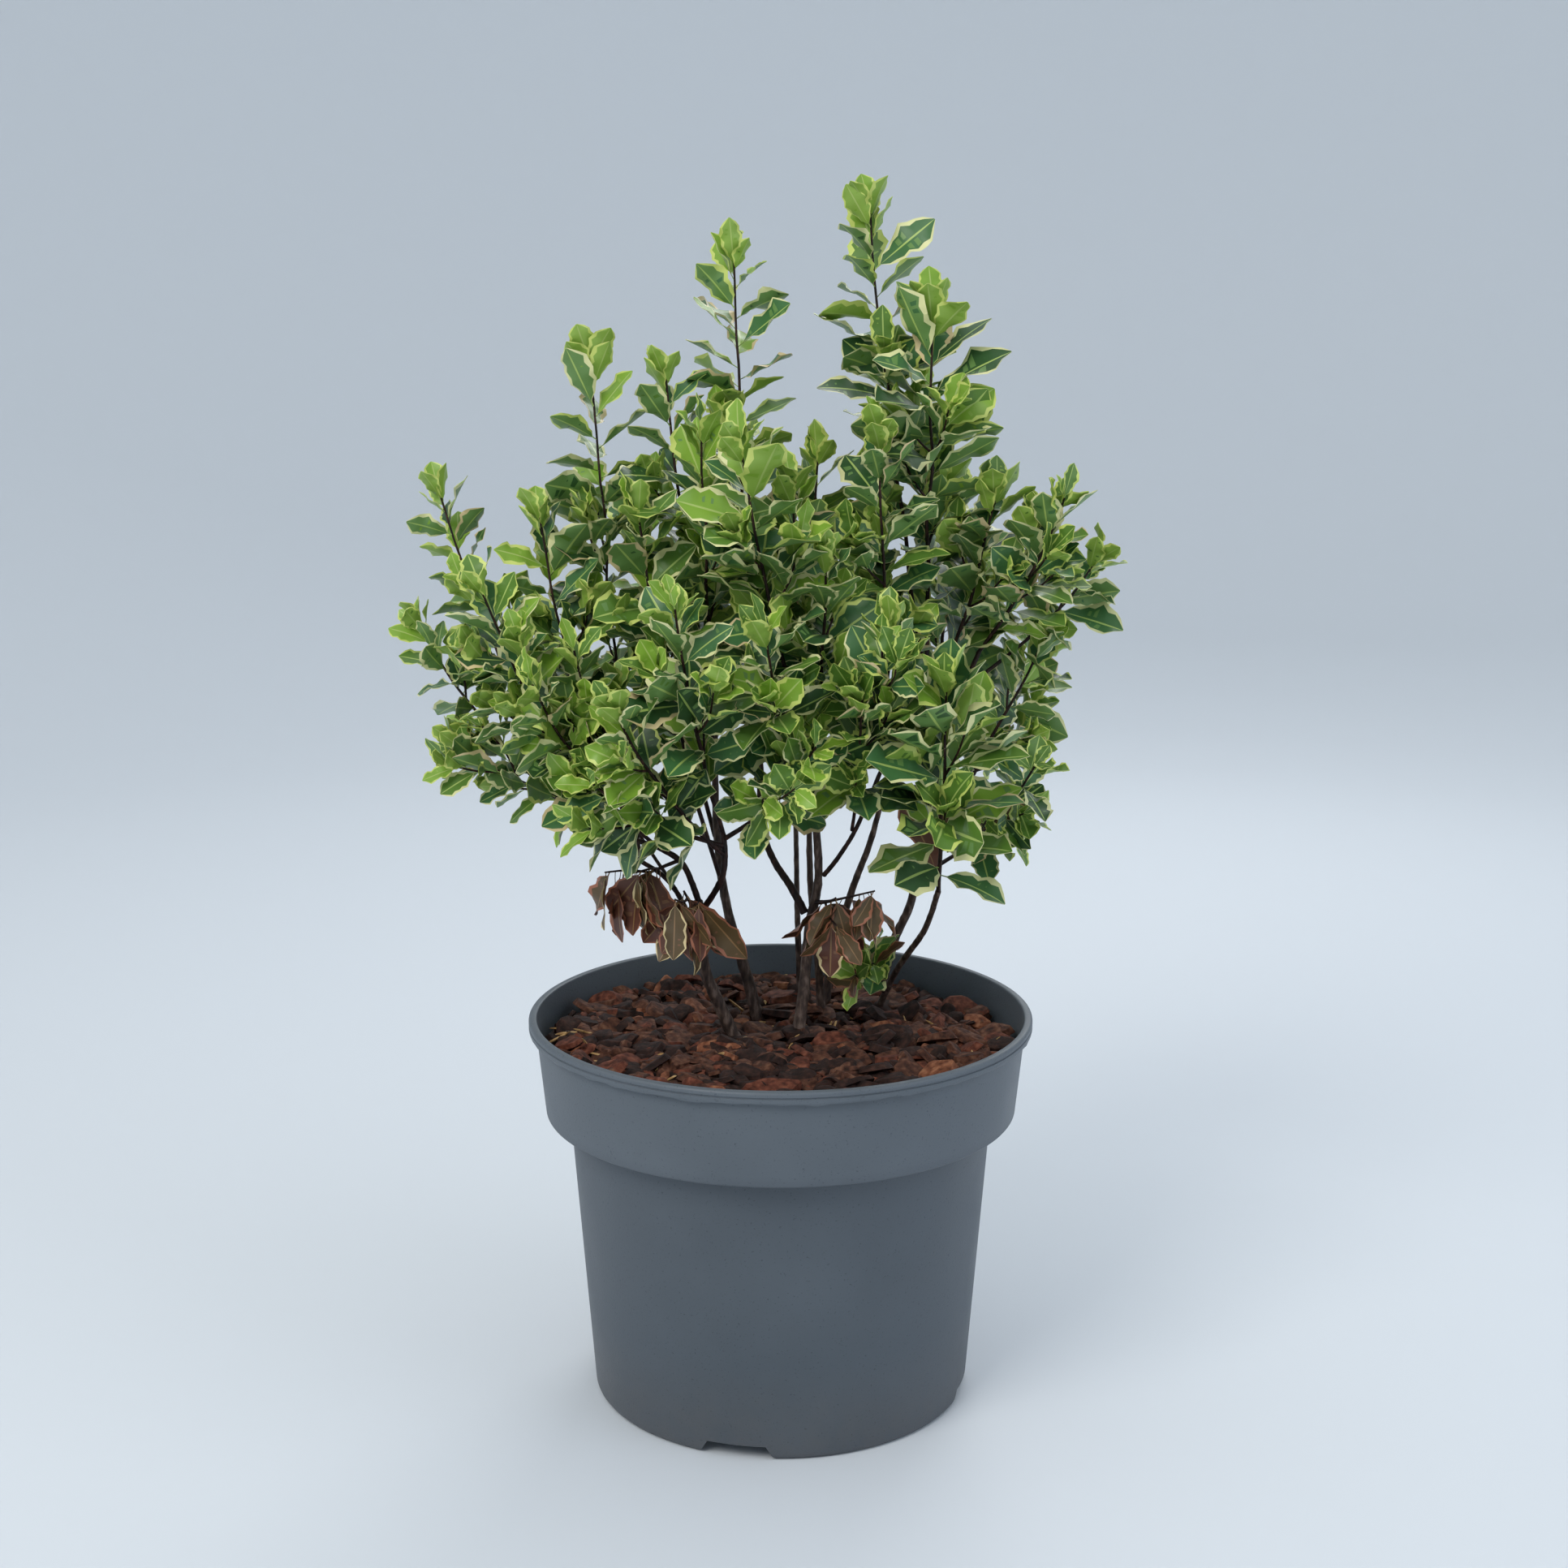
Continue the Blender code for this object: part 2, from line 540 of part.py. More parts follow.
def leaf_size(distance, full):
    """Length of a leaf: small at the tip of the shoot, full lower down."""
    return full * (0.62 + 0.38 * min(distance / 0.035, 1.0))


def leaves_on(path, bare, full, hang, spacing, chance):
    """Share, turn, pitch, roll and length of each leaf on a twig, tip first."""
    length = sum((b - a).length for a, b in zip(path, path[1:]))
    turn = 0.5 * LEAF_TURN
    distance = 0.0008
    count = 0
    while distance < length * (1.0 - bare):
        yield (1.0 - distance / length,
               turn + chance.uniform(-LEAF_TURN_SPREAD, LEAF_TURN_SPREAD),
               leaf_angle(distance, hang, chance),
               chance.uniform(-0.5, 0.5),
               leaf_size(distance, full) * chance.uniform(0.88, 1.12))
        turn += LEAF_TURN
        count += 1
        distance += TIP_SPACING if count < TIP_LEAVES else spacing * chance.uniform(0.85, 1.15)


def leaf_pose(path, share, turn, pitch, roll, hang):
    """Root, direction and upper face of a leaf that leaves a twig at a turn."""
    root, _ = along(path, share)
    nearest = min(int(share * (len(path) - 1) + 0.5), len(path) - 1)
    ahead, side_way = frames(path)[nearest]
    radial = side_way * math.cos(turn) + ahead.cross(side_way) * math.sin(turn)
    direction = (ahead * math.cos(pitch) + radial * math.sin(pitch)).normalized()
    if hang == HANGING:
        direction = (direction * 0.6 + Vector((0.0, 0.0, -0.9))).normalized()
    face = (ahead - direction * ahead.dot(direction)).normalized()
    face = Matrix.Rotation(roll, 3, direction) @ face
    return root, direction, face


def side_twigs(path, count, chance):
    """Short twigs that leave a shoot's stem on alternate sides."""
    turn = chance.uniform(0.0, math.tau)
    for index in range(count):
        share = 0.30 + 0.38 * (index + 0.5) / count
        place, ahead = along(path, share)
        radial = Matrix.Rotation(turn, 3, ahead) @ ahead.orthogonal().normalized()
        direction = (ahead * 0.75 + radial * 0.66).normalized()
        length = TWIG_LENGTH * chance.uniform(0.85, 1.2)
        middle = place + direction * length * 0.5
        tip = place + (direction * 0.85 + ahead * 0.25) * length
        yield [place, middle, tip]
        turn += LEAF_TURN


def leaf_object(verts, faces, collection):
    """One leaf as an object in the collection to be joined."""
    mesh = bpy.data.meshes.new("leaf")
    mesh.from_pydata([tuple(v) for v in verts], [], faces)
    thing = bpy.data.objects.new("leaf", mesh)
    collection.objects.link(thing)


def bounds_overlap(a, b):
    """Whether two boxes of (lowest, highest) corners meet."""
    return all(a[0][i] <= b[1][i] and b[0][i] <= a[1][i] for i in range(3))


def box_of(points):
    """Lowest and highest corners of some points."""
    return ([min(p[i] for p in points) for i in range(3)],
            [max(p[i] for p in points) for i in range(3)])


def meets_none(shape, others):
    """Whether a shape touches none of the others, given as boxes and trees."""
    box = box_of(shape[0])
    near = [tree for other_box, tree in others if bounds_overlap(box, other_box)]
    if not near:
        return True
    own = tree_of(*shape)
    return not any(own.overlap(tree) for tree in near)


def build_limbs(taken):
    """All stems and boughs, and what their surfaces take up."""
    bark = named_material("stem_bark", (0.105, 0.065, 0.048), 0.75)
    paths = limb_paths()
    for name, (path, radii) in paths.items():
        parent, share = LIMBS[name][:2]
        mesh = tube(path, radii, LIMB_SIDES, foot_way(paths, parent, share))
        add_object(name, mesh, bark, 60.0)
        taken[name] = [(box_of([v.co for v in mesh.vertices]), tree_of_mesh(mesh))]
    return paths


def closes_up(mesh):
    """Close up a joined mesh's slivers; false unless it stays one closed body."""
    bm = bmesh.new()
    bm.from_mesh(mesh)
    bmesh.ops.triangulate(bm, faces=bm.faces)
    for _ in range(2):
        bmesh.ops.remove_doubles(bm, verts=bm.verts, dist=SLIVER)
        bmesh.ops.dissolve_degenerate(bm, edges=bm.edges, dist=SLIVER)
        bmesh.ops.triangulate(bm, faces=bm.faces)
    closed = (all(edge.is_manifold for edge in bm.edges)
              and all(vert.is_manifold for vert in bm.verts))
    thin = min(2.0 * face.calc_area() / max(edge.calc_length() for edge in face.edges)
               for face in bm.faces)
    reached = set()
    waiting = [next(iter(bm.verts))]
    while waiting:
        vert = waiting.pop()
        if vert not in reached:
            reached.add(vert)
            waiting.extend(edge.other_vert(vert) for edge in vert.link_edges)
    whole = len(reached) == len(bm.verts)
    bm.to_mesh(mesh)
    bm.free()
    return closed and whole and thin > THINNEST


def grow_mass(stem, stem_mesh, bare, full, twigs, hang, spacing, others, chance):
    """Twigs and leaves on one stem, joined to it, and what the leaves take up."""
    mass = bpy.data.objects.new("mass", stem_mesh.copy())
    bpy.context.scene.collection.objects.link(mass)
    collection = bpy.data.collections.new("leaves")
    bpy.context.scene.collection.children.link(collection)
    twig_paths = [(stem, bare)]
    for twig in side_twigs(stem, twigs, chance):
        fat = tube(twig, [0.0014, 0.0013, 0.0011], TWIG_SIDES)
        points = [v.co.copy() for v in fat.vertices]
        if meets_none((points, [tuple(p.vertices) for p in fat.polygons]), others):
            twig_paths.append((twig, 0.2))
            shape = tube(twig, [0.0006, 0.0009, 0.0007], TWIG_SIDES)
            collection.objects.link(bpy.data.objects.new("twig", shape))
        bpy.data.meshes.remove(fat)
    placed = []
    blades = []
    for twig, start in twig_paths:
        for share, turn, pitch, roll, length in leaves_on(twig, start, full, hang, spacing, chance):
            for size, other in itertools.product(OTHER_SIZES, OTHER_TURNS):
                root, direction, face = leaf_pose(twig, share, turn + other, pitch, roll, hang)
                swollen = leaf_mesh(root, direction, face, length * size, 1.2 * GAP)
                blade = leaf_blade(root, direction, face, length * size)
                if meets_none(swollen, others) and meets_none(blade, blades):
                    leaf_object(*leaf_mesh(root, direction, face, length * size), collection)
                    placed.append((box_of(swollen[0]), tree_of(*swollen)))
                    blades.append((box_of(blade[0]), tree_of(*blade)))
                    break
    boolean(mass, "UNION", "MANIFOLD", collection=collection)
    mesh = mass.data
    bpy.data.objects.remove(mass)
    return mesh, placed


def build_shoots(paths, taken):
    """All foliage masses, each one stem with its twigs and leaves."""
    green = named_material("variegated_leaves", (0.175, 0.290, 0.075), 0.45)
    bronze = named_material("old_leaves", (0.200, 0.095, 0.050), 0.55)
    stems = {}
    for name, (limb, share, tip, bare, full, twigs, hang) in SHOOTS.items():
        path, radii = paths[limb]
        tip = Vector(tip)
        foot_radius = min(0.0015, radii[-1])
        foot = side_foot(path, radii, share, tip, foot_radius)
        stem = shoot_path(foot, tip, STEM_RINGS)
        widths = [foot_radius + (0.0009 - foot_radius) * i / (STEM_RINGS - 1)
                  for i in range(STEM_RINGS)]
        way = foot_way(paths, limb, share)
        mesh = tube(stem, widths, TWIG_SIDES, way)
        fat = tube(stem, [width + 1.2 * GAP for width in widths], TWIG_SIDES, way)
        stems[name] = (stem, mesh)
        taken[name] = [(box_of([v.co for v in fat.vertices]), tree_of_mesh(fat))]
        bpy.data.meshes.remove(fat)
    for index, (name, (_, _, _, bare, full, twigs, hang)) in enumerate(SHOOTS.items()):
        others = [entry for other, entries in taken.items() if other != name
                  for entry in entries]
        stem, stem_mesh = stems[name]
        for attempt in range(ATTEMPTS):
            chance = random.Random(1000 + index + 100 * attempt)
            spacing = LEAF_SPACING * (1.0 + 0.06 * attempt)
            mesh, placed = grow_mass(stem, stem_mesh, bare, full, twigs, hang, spacing,
                                     others, chance)
            if closes_up(mesh):
                break
        taken[name].extend(placed)
        add_object(name, mesh, bronze if hang == HANGING else green)


def main():
    """Clear the scene and build the whole plant."""
    for thing in list(bpy.data.objects):
        bpy.data.objects.remove(thing)
    taken = {}
    for thing in (build_pot(), build_mulch()):
        points = [vert.co for vert in thing.data.vertices]
        taken[thing.name] = [(box_of(points), tree_of_mesh(thing.data))]
    paths = build_limbs(taken)
    build_shoots(paths, taken)


main()
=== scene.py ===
"""Looks of a young variegated kohuhu in a grey nursery pot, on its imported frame."""
import json
import math
import random

import bmesh
import bpy
from mathutils import Matrix, Vector, noise

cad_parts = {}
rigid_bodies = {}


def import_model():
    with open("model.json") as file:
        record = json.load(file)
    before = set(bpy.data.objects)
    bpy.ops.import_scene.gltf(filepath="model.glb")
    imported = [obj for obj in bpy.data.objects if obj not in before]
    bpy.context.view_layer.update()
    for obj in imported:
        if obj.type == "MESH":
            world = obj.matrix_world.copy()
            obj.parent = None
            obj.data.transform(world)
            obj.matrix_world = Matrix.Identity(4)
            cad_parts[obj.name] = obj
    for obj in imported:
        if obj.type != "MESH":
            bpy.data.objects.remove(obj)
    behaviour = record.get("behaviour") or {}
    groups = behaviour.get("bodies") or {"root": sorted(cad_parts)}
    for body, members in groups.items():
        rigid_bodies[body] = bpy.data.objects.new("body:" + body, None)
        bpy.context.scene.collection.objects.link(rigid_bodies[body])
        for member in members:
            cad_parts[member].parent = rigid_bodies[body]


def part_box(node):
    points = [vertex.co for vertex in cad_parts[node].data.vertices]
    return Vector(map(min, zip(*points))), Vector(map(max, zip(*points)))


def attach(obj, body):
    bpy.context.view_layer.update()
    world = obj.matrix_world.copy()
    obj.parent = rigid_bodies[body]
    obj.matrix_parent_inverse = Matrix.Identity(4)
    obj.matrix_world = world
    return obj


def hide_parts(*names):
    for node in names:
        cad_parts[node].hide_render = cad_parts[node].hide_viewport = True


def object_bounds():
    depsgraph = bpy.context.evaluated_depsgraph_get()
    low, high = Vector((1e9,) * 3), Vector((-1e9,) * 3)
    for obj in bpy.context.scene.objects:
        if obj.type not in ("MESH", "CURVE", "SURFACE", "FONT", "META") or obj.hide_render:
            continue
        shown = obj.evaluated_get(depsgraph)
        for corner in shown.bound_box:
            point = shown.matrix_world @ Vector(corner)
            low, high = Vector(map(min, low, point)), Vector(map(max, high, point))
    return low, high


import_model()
cad_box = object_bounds()

# Camera, floor and light: a long lens a little above the rim, over a plain
# pale floor that turns up all round, in soft daylight from the upper left.
PHOTO_SIDE = 1932
LENS_PIXELS = 2774
CAMERA_DISTANCE = 1.208
CAMERA_HEIGHT = 0.590
CAMERA_PITCH = math.radians(11.43)
AXIS_COLUMN = 961.8


def srgb(code):
    """Linear colour of an sRGB hex value."""
    parts = [int(code[i:i + 2], 16) / 255 for i in (1, 3, 5)]
    linear = [p / 12.92 if p <= 0.04045 else ((p + 0.055) / 1.055) ** 2.4 for p in parts]
    return (*linear, 1.0)


def add_node(tree, kind, settings=None, inputs=None, links=None):
    """A node with its settings and socket values; links maps a socket to a source."""
    node = tree.nodes.new(kind)
    for key, value in (settings or {}).items():
        setattr(node, key, value)
    for key, value in (inputs or {}).items():
        node.inputs[key].default_value = value
    for key, source in (links or {}).items():
        tree.links.new(source, node.inputs[key])
    return node


def new_material(name, colour, roughness, specular):
    """A Principled material and its tree and shader."""
    material = bpy.data.materials.new(name)
    material.use_nodes = True
    shader = material.node_tree.nodes["Principled BSDF"]
    shader.inputs["Base Color"].default_value = srgb(colour)
    shader.inputs["Roughness"].default_value = roughness
    shader.inputs["Specular IOR Level"].default_value = specular
    return material, material.node_tree, shader


def ramp(tree, source, stops):
    """A colour ramp over a value, with (place, hex) stops."""
    node = add_node(tree, "ShaderNodeValToRGB", links={"Fac": source})
    while len(node.color_ramp.elements) < len(stops):
        node.color_ramp.elements.new(1.0)
    for element, (place, code) in zip(node.color_ramp.elements, stops):
        element.position = place
        element.color = srgb(code)
    return node


camera_data = bpy.data.cameras.new("camera")
camera_data.sensor_width = 36.0
camera_data.lens = 36.0 * LENS_PIXELS / PHOTO_SIDE
camera_data.shift_x = (PHOTO_SIDE / 2 - AXIS_COLUMN) / PHOTO_SIDE
camera = bpy.data.objects.new("camera", camera_data)
camera.location = (0.0, -CAMERA_DISTANCE, CAMERA_HEIGHT)
camera.rotation_euler = (math.pi / 2 - CAMERA_PITCH, 0.0, 0.0)
bpy.context.scene.collection.objects.link(camera)
bpy.context.scene.camera = camera
bpy.context.scene.view_settings.view_transform = "Standard"

FLOOR_RADIUS = 1.9
COVE_RADIUS = 2.2
COVE_TOP = 4.4
COVE_STEPS = 16
FLOOR_STEPS = 96
floor_mesh = bmesh.new()
sweep = [(0.0, 0.0), (FLOOR_RADIUS, 0.0)]
sweep += [(FLOOR_RADIUS + COVE_RADIUS * math.sin(turn), COVE_RADIUS * (1.0 - math.cos(turn)))
          for turn in (math.pi / 2 * i / COVE_STEPS for i in range(1, COVE_STEPS + 1))]
sweep.append((FLOOR_RADIUS + COVE_RADIUS, COVE_TOP))
corners = [floor_mesh.verts.new((radius, 0.0, height)) for radius, height in sweep]
edges = [floor_mesh.edges.new(pair) for pair in zip(corners, corners[1:])]
bmesh.ops.spin(floor_mesh, geom=corners + edges, cent=(0, 0, 0), axis=(0, 0, 1), angle=math.tau,
               steps=FLOOR_STEPS, use_merge=True)
bmesh.ops.remove_doubles(floor_mesh, verts=floor_mesh.verts, dist=1e-4)
floor_data = bpy.data.meshes.new("floor")
floor_mesh.to_mesh(floor_data)
floor_mesh.free()
floor_data.shade_smooth()
floor = bpy.data.objects.new("floor", floor_data)
# Pale matt floor of a photographer's studio
floor_data.materials.append(new_material("pale_floor", "#d9dfe5", 0.60, 0.20)[0])
bpy.context.scene.collection.objects.link(floor)

world = bpy.data.worlds.new("soft_daylight")
world.use_nodes = True
sky = world.node_tree.nodes["Background"]
sky.inputs["Color"].default_value = srgb("#edf1f4")
sky.inputs["Strength"].default_value = 0.92
bpy.context.scene.world = world


def add_lamp(name, place, aim, width, watts, colour):
    """A soft rectangular lamp that looks at a point."""
    lamp = bpy.data.lights.new(name, "AREA")
    lamp.size = width
    lamp.energy = watts
    lamp.color = srgb(colour)[:3]
    thing = bpy.data.objects.new(name, lamp)
    thing.location = place
    thing.rotation_euler = (Vector(aim) - Vector(place)).to_track_quat("-Z", "Y").to_euler()
    bpy.context.scene.collection.objects.link(thing)


add_lamp("window_light", (-1.1, -1.5, 1.9), (0.0, 0.0, 0.35), 1.1, 26.0, "#fffbf4")
add_lamp("fill_light", (1.6, -0.8, 1.1), (0.0, 0.0, 0.30), 1.2, 7.0, "#f0f5ff")
add_lamp("back_light", (0.5, 1.6, 1.5), (0.0, 0.0, 0.45), 1.0, 10.0, "#ffffff")

# Pot: a thin-walled injection-moulded nursery pot in grey polypropylene, with a
# stepped collar, a rolled rim and drain notches cut through its foot.
POT_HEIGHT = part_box("pot")[1][2]
RIM_RADIUS = 0.140
WALL = 0.0020
COLLAR_FOOT_HEIGHT = 0.1632
COLLAR_FOOT_RADIUS = 0.1313
COLLAR_TOP_RADIUS = 0.1362
BODY_TOP_RADIUS = 0.1180
BODY_FOOT_RADIUS = 0.1060
FLOOR_RISE = 0.0080
CENTRE_DISC_RADIUS = 0.036
POT_STEPS = 144
SHARP_EDGE = 35.0
# Standing ring round the foot, and the shallow disc at the middle of the floor
RING_WIDTH = 0.0110
RING_CREST = 0.0116
RING_SLOPE = 0.0126
RING_EDGE = 0.0005
FOOT_ROUND = 0.0040
DISC_SLOPE = 0.003
DISC_EDGE = 0.0008
DISC_RISE = 0.0006
# Collar and lip: a rounded step, then a lip with a groove run round it
CREASE = 0.0008
STEP_ROUND = 0.0012
LIP_CREASE = ((-0.0002, -0.0004), (0.0003, 0.0))
LIP_HEIGHT = 0.0065
LIP_WIDTH = 0.0045
LIP_ROUND = 0.0010
RIM_ROUND = 0.0016
GROOVE_DEPTH = 0.0006
GROOVE_HEIGHTS = (0.0026, 0.0030, 0.0034, 0.0038)
BURR = 0.0005
BURR_SCALE = 140
# Drain notches and holes
NOTCH_COUNT = 4
NOTCH_BEARING = math.radians(-103.0)
NOTCH_LENGTH = 0.030
NOTCH_INSET = 0.004
NOTCH_TOP_WIDTH = 0.032
NOTCH_FOOT_WIDTH = 0.046
NOTCH_TOP = 0.0078
NOTCH_FOOT = -0.004
HOLE_RADIUS = 0.0075
HOLE_REACH = 0.068
HOLE_DEPTH = 0.020


def finished(name, bm, materials, smooth):
    """A bmesh as a piece at the origin that rides on the plant's one body."""
    mesh = bpy.data.meshes.new(name)
    bm.to_mesh(mesh)
    bm.free()
    for material in materials:
        mesh.materials.append(material)
    mesh.shade_smooth()
    mesh.set_sharp_from_angle(angle=math.radians(smooth))
    piece = bpy.data.objects.new(name, mesh)
    bpy.context.scene.collection.objects.link(piece)
    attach(piece, "root")
    return piece


def arc(centre, radius, start, end, count):
    """Points of an arc in the (radius, height) plane, in degrees."""
    for i in range(count + 1):
        angle = math.radians(start + (end - start) * i / count)
        yield (centre[0] + radius * math.cos(angle), centre[1] + radius * math.sin(angle))


lip_foot = POT_HEIGHT - LIP_HEIGHT
rim_inner = RIM_RADIUS - LIP_WIDTH
profile = [(0.0, 0.0), (CENTRE_DISC_RADIUS - DISC_EDGE, 0.0), (CENTRE_DISC_RADIUS, DISC_RISE),
           (CENTRE_DISC_RADIUS + DISC_SLOPE, FLOOR_RISE),
           (BODY_FOOT_RADIUS - RING_SLOPE, FLOOR_RISE), (BODY_FOOT_RADIUS - RING_CREST, RING_EDGE),
           (BODY_FOOT_RADIUS - RING_WIDTH, 0.0)]
profile += arc((BODY_FOOT_RADIUS - FOOT_ROUND, FOOT_ROUND), FOOT_ROUND, -90, 0, 6)
profile += [(BODY_TOP_RADIUS, COLLAR_FOOT_HEIGHT - CREASE),
            (BODY_TOP_RADIUS + CREASE, COLLAR_FOOT_HEIGHT)]
profile += arc((COLLAR_FOOT_RADIUS - STEP_ROUND, COLLAR_FOOT_HEIGHT + STEP_ROUND), STEP_ROUND, -90, 0, 4)
profile += [(COLLAR_TOP_RADIUS + out, lip_foot + up) for out, up in LIP_CREASE]
profile += arc((RIM_RADIUS - LIP_ROUND, lip_foot + LIP_ROUND), LIP_ROUND, -90, 0, 3)
profile += [(RIM_RADIUS - depth, lip_foot + height)
            for depth, height in zip((0.0, GROOVE_DEPTH, GROOVE_DEPTH, 0.0), GROOVE_HEIGHTS)]
profile += arc((RIM_RADIUS - RIM_ROUND, POT_HEIGHT - RIM_ROUND), RIM_ROUND, 0, 90, 5)
profile += arc((rim_inner + LIP_ROUND, POT_HEIGHT - LIP_ROUND), LIP_ROUND, 90, 180, 3)
profile += [(COLLAR_TOP_RADIUS - WALL, lip_foot - WALL),
            (COLLAR_FOOT_RADIUS - WALL, COLLAR_FOOT_HEIGHT + WALL),
            (BODY_TOP_RADIUS - WALL, COLLAR_FOOT_HEIGHT + WALL - 0.0004),
            (BODY_FOOT_RADIUS - WALL, FLOOR_RISE + WALL),
            (CENTRE_DISC_RADIUS + DISC_SLOPE, FLOOR_RISE + WALL), (CENTRE_DISC_RADIUS, WALL), (0.0, WALL)]
pot_bm = bmesh.new()
outline = [pot_bm.verts.new((radius, 0.0, height)) for radius, height in profile]
edges = [pot_bm.edges.new(pair) for pair in zip(outline, outline[1:])]
bmesh.ops.spin(pot_bm, geom=outline + edges, cent=(0, 0, 0), axis=(0, 0, 1), angle=math.tau,
               steps=POT_STEPS, use_merge=True)
bmesh.ops.remove_doubles(pot_bm, verts=pot_bm.verts, dist=1e-5)
bmesh.ops.recalc_face_normals(pot_bm, faces=pot_bm.faces)
for vert in pot_bm.verts:
    # The foot of the rim is a ragged moulding line
    radius = math.hypot(vert.co.x, vert.co.y)
    if abs(vert.co.z - lip_foot) < 0.0003 and radius > COLLAR_TOP_RADIUS:
        rough = noise.noise(Vector((vert.co.x * BURR_SCALE, vert.co.y * BURR_SCALE, 3.0)))
        vert.co.z += BURR * min(0.0, rough * 3.0 - 0.6)


def place_in(tree):
    """Object coordinates, in metres."""
    return add_node(tree, "ShaderNodeTexCoord").outputs["Object"]


# Grey polypropylene: a satin moulded skin with fine pits, a cloudy sheen and dried splashes of compost
# near the foot. Painted light shades it darker towards the foot and a little paler at the collar.
pot_plastic, tree, shader = new_material("moulded_grey_polypropylene", "#555d64", 0.46, 0.42)
here = place_in(tree)
cloud = add_node(tree, "ShaderNodeTexNoise", inputs={"Scale": 16.0, "Detail": 6.0},
                 links={"Vector": here})
speck = add_node(tree, "ShaderNodeTexNoise", inputs={"Scale": 900.0, "Detail": 3.0},
                 links={"Vector": here})
tone = ramp(tree, cloud.outputs["Fac"], [(0.30, "#575f67"), (0.55, "#5c646c"), (0.75, "#616971")])
pits = ramp(tree, speck.outputs["Fac"], [(0.30, "#9aa2a8"), (0.36, "#ffffff")])
toned = add_node(tree, "ShaderNodeMix", {"data_type": "RGBA", "blend_type": "MULTIPLY"},
                 {"Factor": 0.55}, {6: tone.outputs["Color"], 7: pits.outputs["Color"]})
split = add_node(tree, "ShaderNodeSeparateXYZ", links={"Vector": here})
low = add_node(tree, "ShaderNodeMapRange",
               inputs={"From Min": 0.0, "From Max": 0.055, "To Min": 0.34, "To Max": 0.0},
               links={"Value": split.outputs["Z"]})
patch = add_node(tree, "ShaderNodeTexNoise", inputs={"Scale": 75.0, "Detail": 8.0},
                 links={"Vector": here})
dirt = add_node(tree, "ShaderNodeMath", {"operation": "MULTIPLY"},
                links={0: low.outputs["Result"], 1: patch.outputs["Fac"]})
dirty = add_node(tree, "ShaderNodeMix", {"data_type": "RGBA"},
                 links={0: dirt.outputs[0], 6: toned.outputs[2]})
dirty.inputs[7].default_value = srgb("#8a7d70")
# Painted light: the grey is shaded darker towards the foot and lit paler on the collar and rim
height_share = add_node(tree, "ShaderNodeMapRange", inputs={"From Min": 0.0, "From Max": POT_HEIGHT},
                        links={"Value": split.outputs["Z"]})
painted_light_by_height = ramp(tree, height_share.outputs["Result"],
              [(0.0, "#d3d6d9"), (0.35, "#e2e4e6"), (0.74, "#e9eaec"), (0.78, "#ffffff")])
with_painted_light = add_node(tree, "ShaderNodeMix", {"data_type": "RGBA", "blend_type": "MULTIPLY"},
                 {"Factor": 1.0}, {6: dirty.outputs[2], 7: painted_light_by_height.outputs["Color"]})
tree.links.new(with_painted_light.outputs[2], shader.inputs["Base Color"])
gloss = add_node(tree, "ShaderNodeMapRange",
                 inputs={"From Min": 0.3, "From Max": 0.7, "To Min": 0.38, "To Max": 0.56},
                 links={"Value": cloud.outputs["Fac"]})
tree.links.new(gloss.outputs["Result"], shader.inputs["Roughness"])
bump = add_node(tree, "ShaderNodeBump", inputs={"Strength": 0.25, "Distance": 0.0004},
                links={"Height": speck.outputs["Fac"]})
tree.links.new(bump.outputs["Normal"], shader.inputs["Normal"])

pot = finished("nursery_pot", pot_bm, [pot_plastic], SHARP_EDGE)
cutters = bpy.data.collections.new("pot_cutters")
bpy.context.scene.collection.children.link(cutters)
for index in range(NOTCH_COUNT):
    bearing = NOTCH_BEARING + math.tau * index / NOTCH_COUNT
    cut = bmesh.new()
    bmesh.ops.create_cube(cut, size=1.0)
    for vert in cut.verts:
        top = vert.co.z > 0
        vert.co.x *= NOTCH_LENGTH
        vert.co.y *= NOTCH_TOP_WIDTH if top else NOTCH_FOOT_WIDTH
        vert.co.z = NOTCH_TOP if top else NOTCH_FOOT
    bmesh.ops.translate(cut, verts=cut.verts, vec=(BODY_FOOT_RADIUS - NOTCH_INSET, 0, 0))
    hole_place = Matrix.Rotation(math.pi / 4, 4, "Z") @ Matrix.Translation((HOLE_REACH, 0, FLOOR_RISE))
    bmesh.ops.create_cone(cut, cap_ends=True, segments=24, radius1=HOLE_RADIUS, radius2=HOLE_RADIUS,
                          depth=HOLE_DEPTH, matrix=hole_place)
    bmesh.ops.rotate(cut, verts=cut.verts, matrix=Matrix.Rotation(bearing, 3, "Z"))
    cutter_mesh = bpy.data.meshes.new("notch")
    cut.to_mesh(cutter_mesh)
    cut.free()
    cutters.objects.link(bpy.data.objects.new("notch", cutter_mesh))
cutting = pot.modifiers.new("notches", "BOOLEAN")
cutting.operand_type = "COLLECTION"
cutting.collection = cutters
cutting.operation = "DIFFERENCE"
cutting.solver = "EXACT"
bpy.context.view_layer.update()
cut_mesh = bpy.data.meshes.new_from_object(pot.evaluated_get(bpy.context.evaluated_depsgraph_get()))
pot.modifiers.clear()
pot.data = cut_mesh
for cutter in list(cutters.objects):
    bpy.data.objects.remove(cutter)
bpy.data.collections.remove(cutters)
pot.data.shade_smooth()
pot.data.set_sharp_from_angle(angle=math.radians(SHARP_EDGE))
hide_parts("pot")

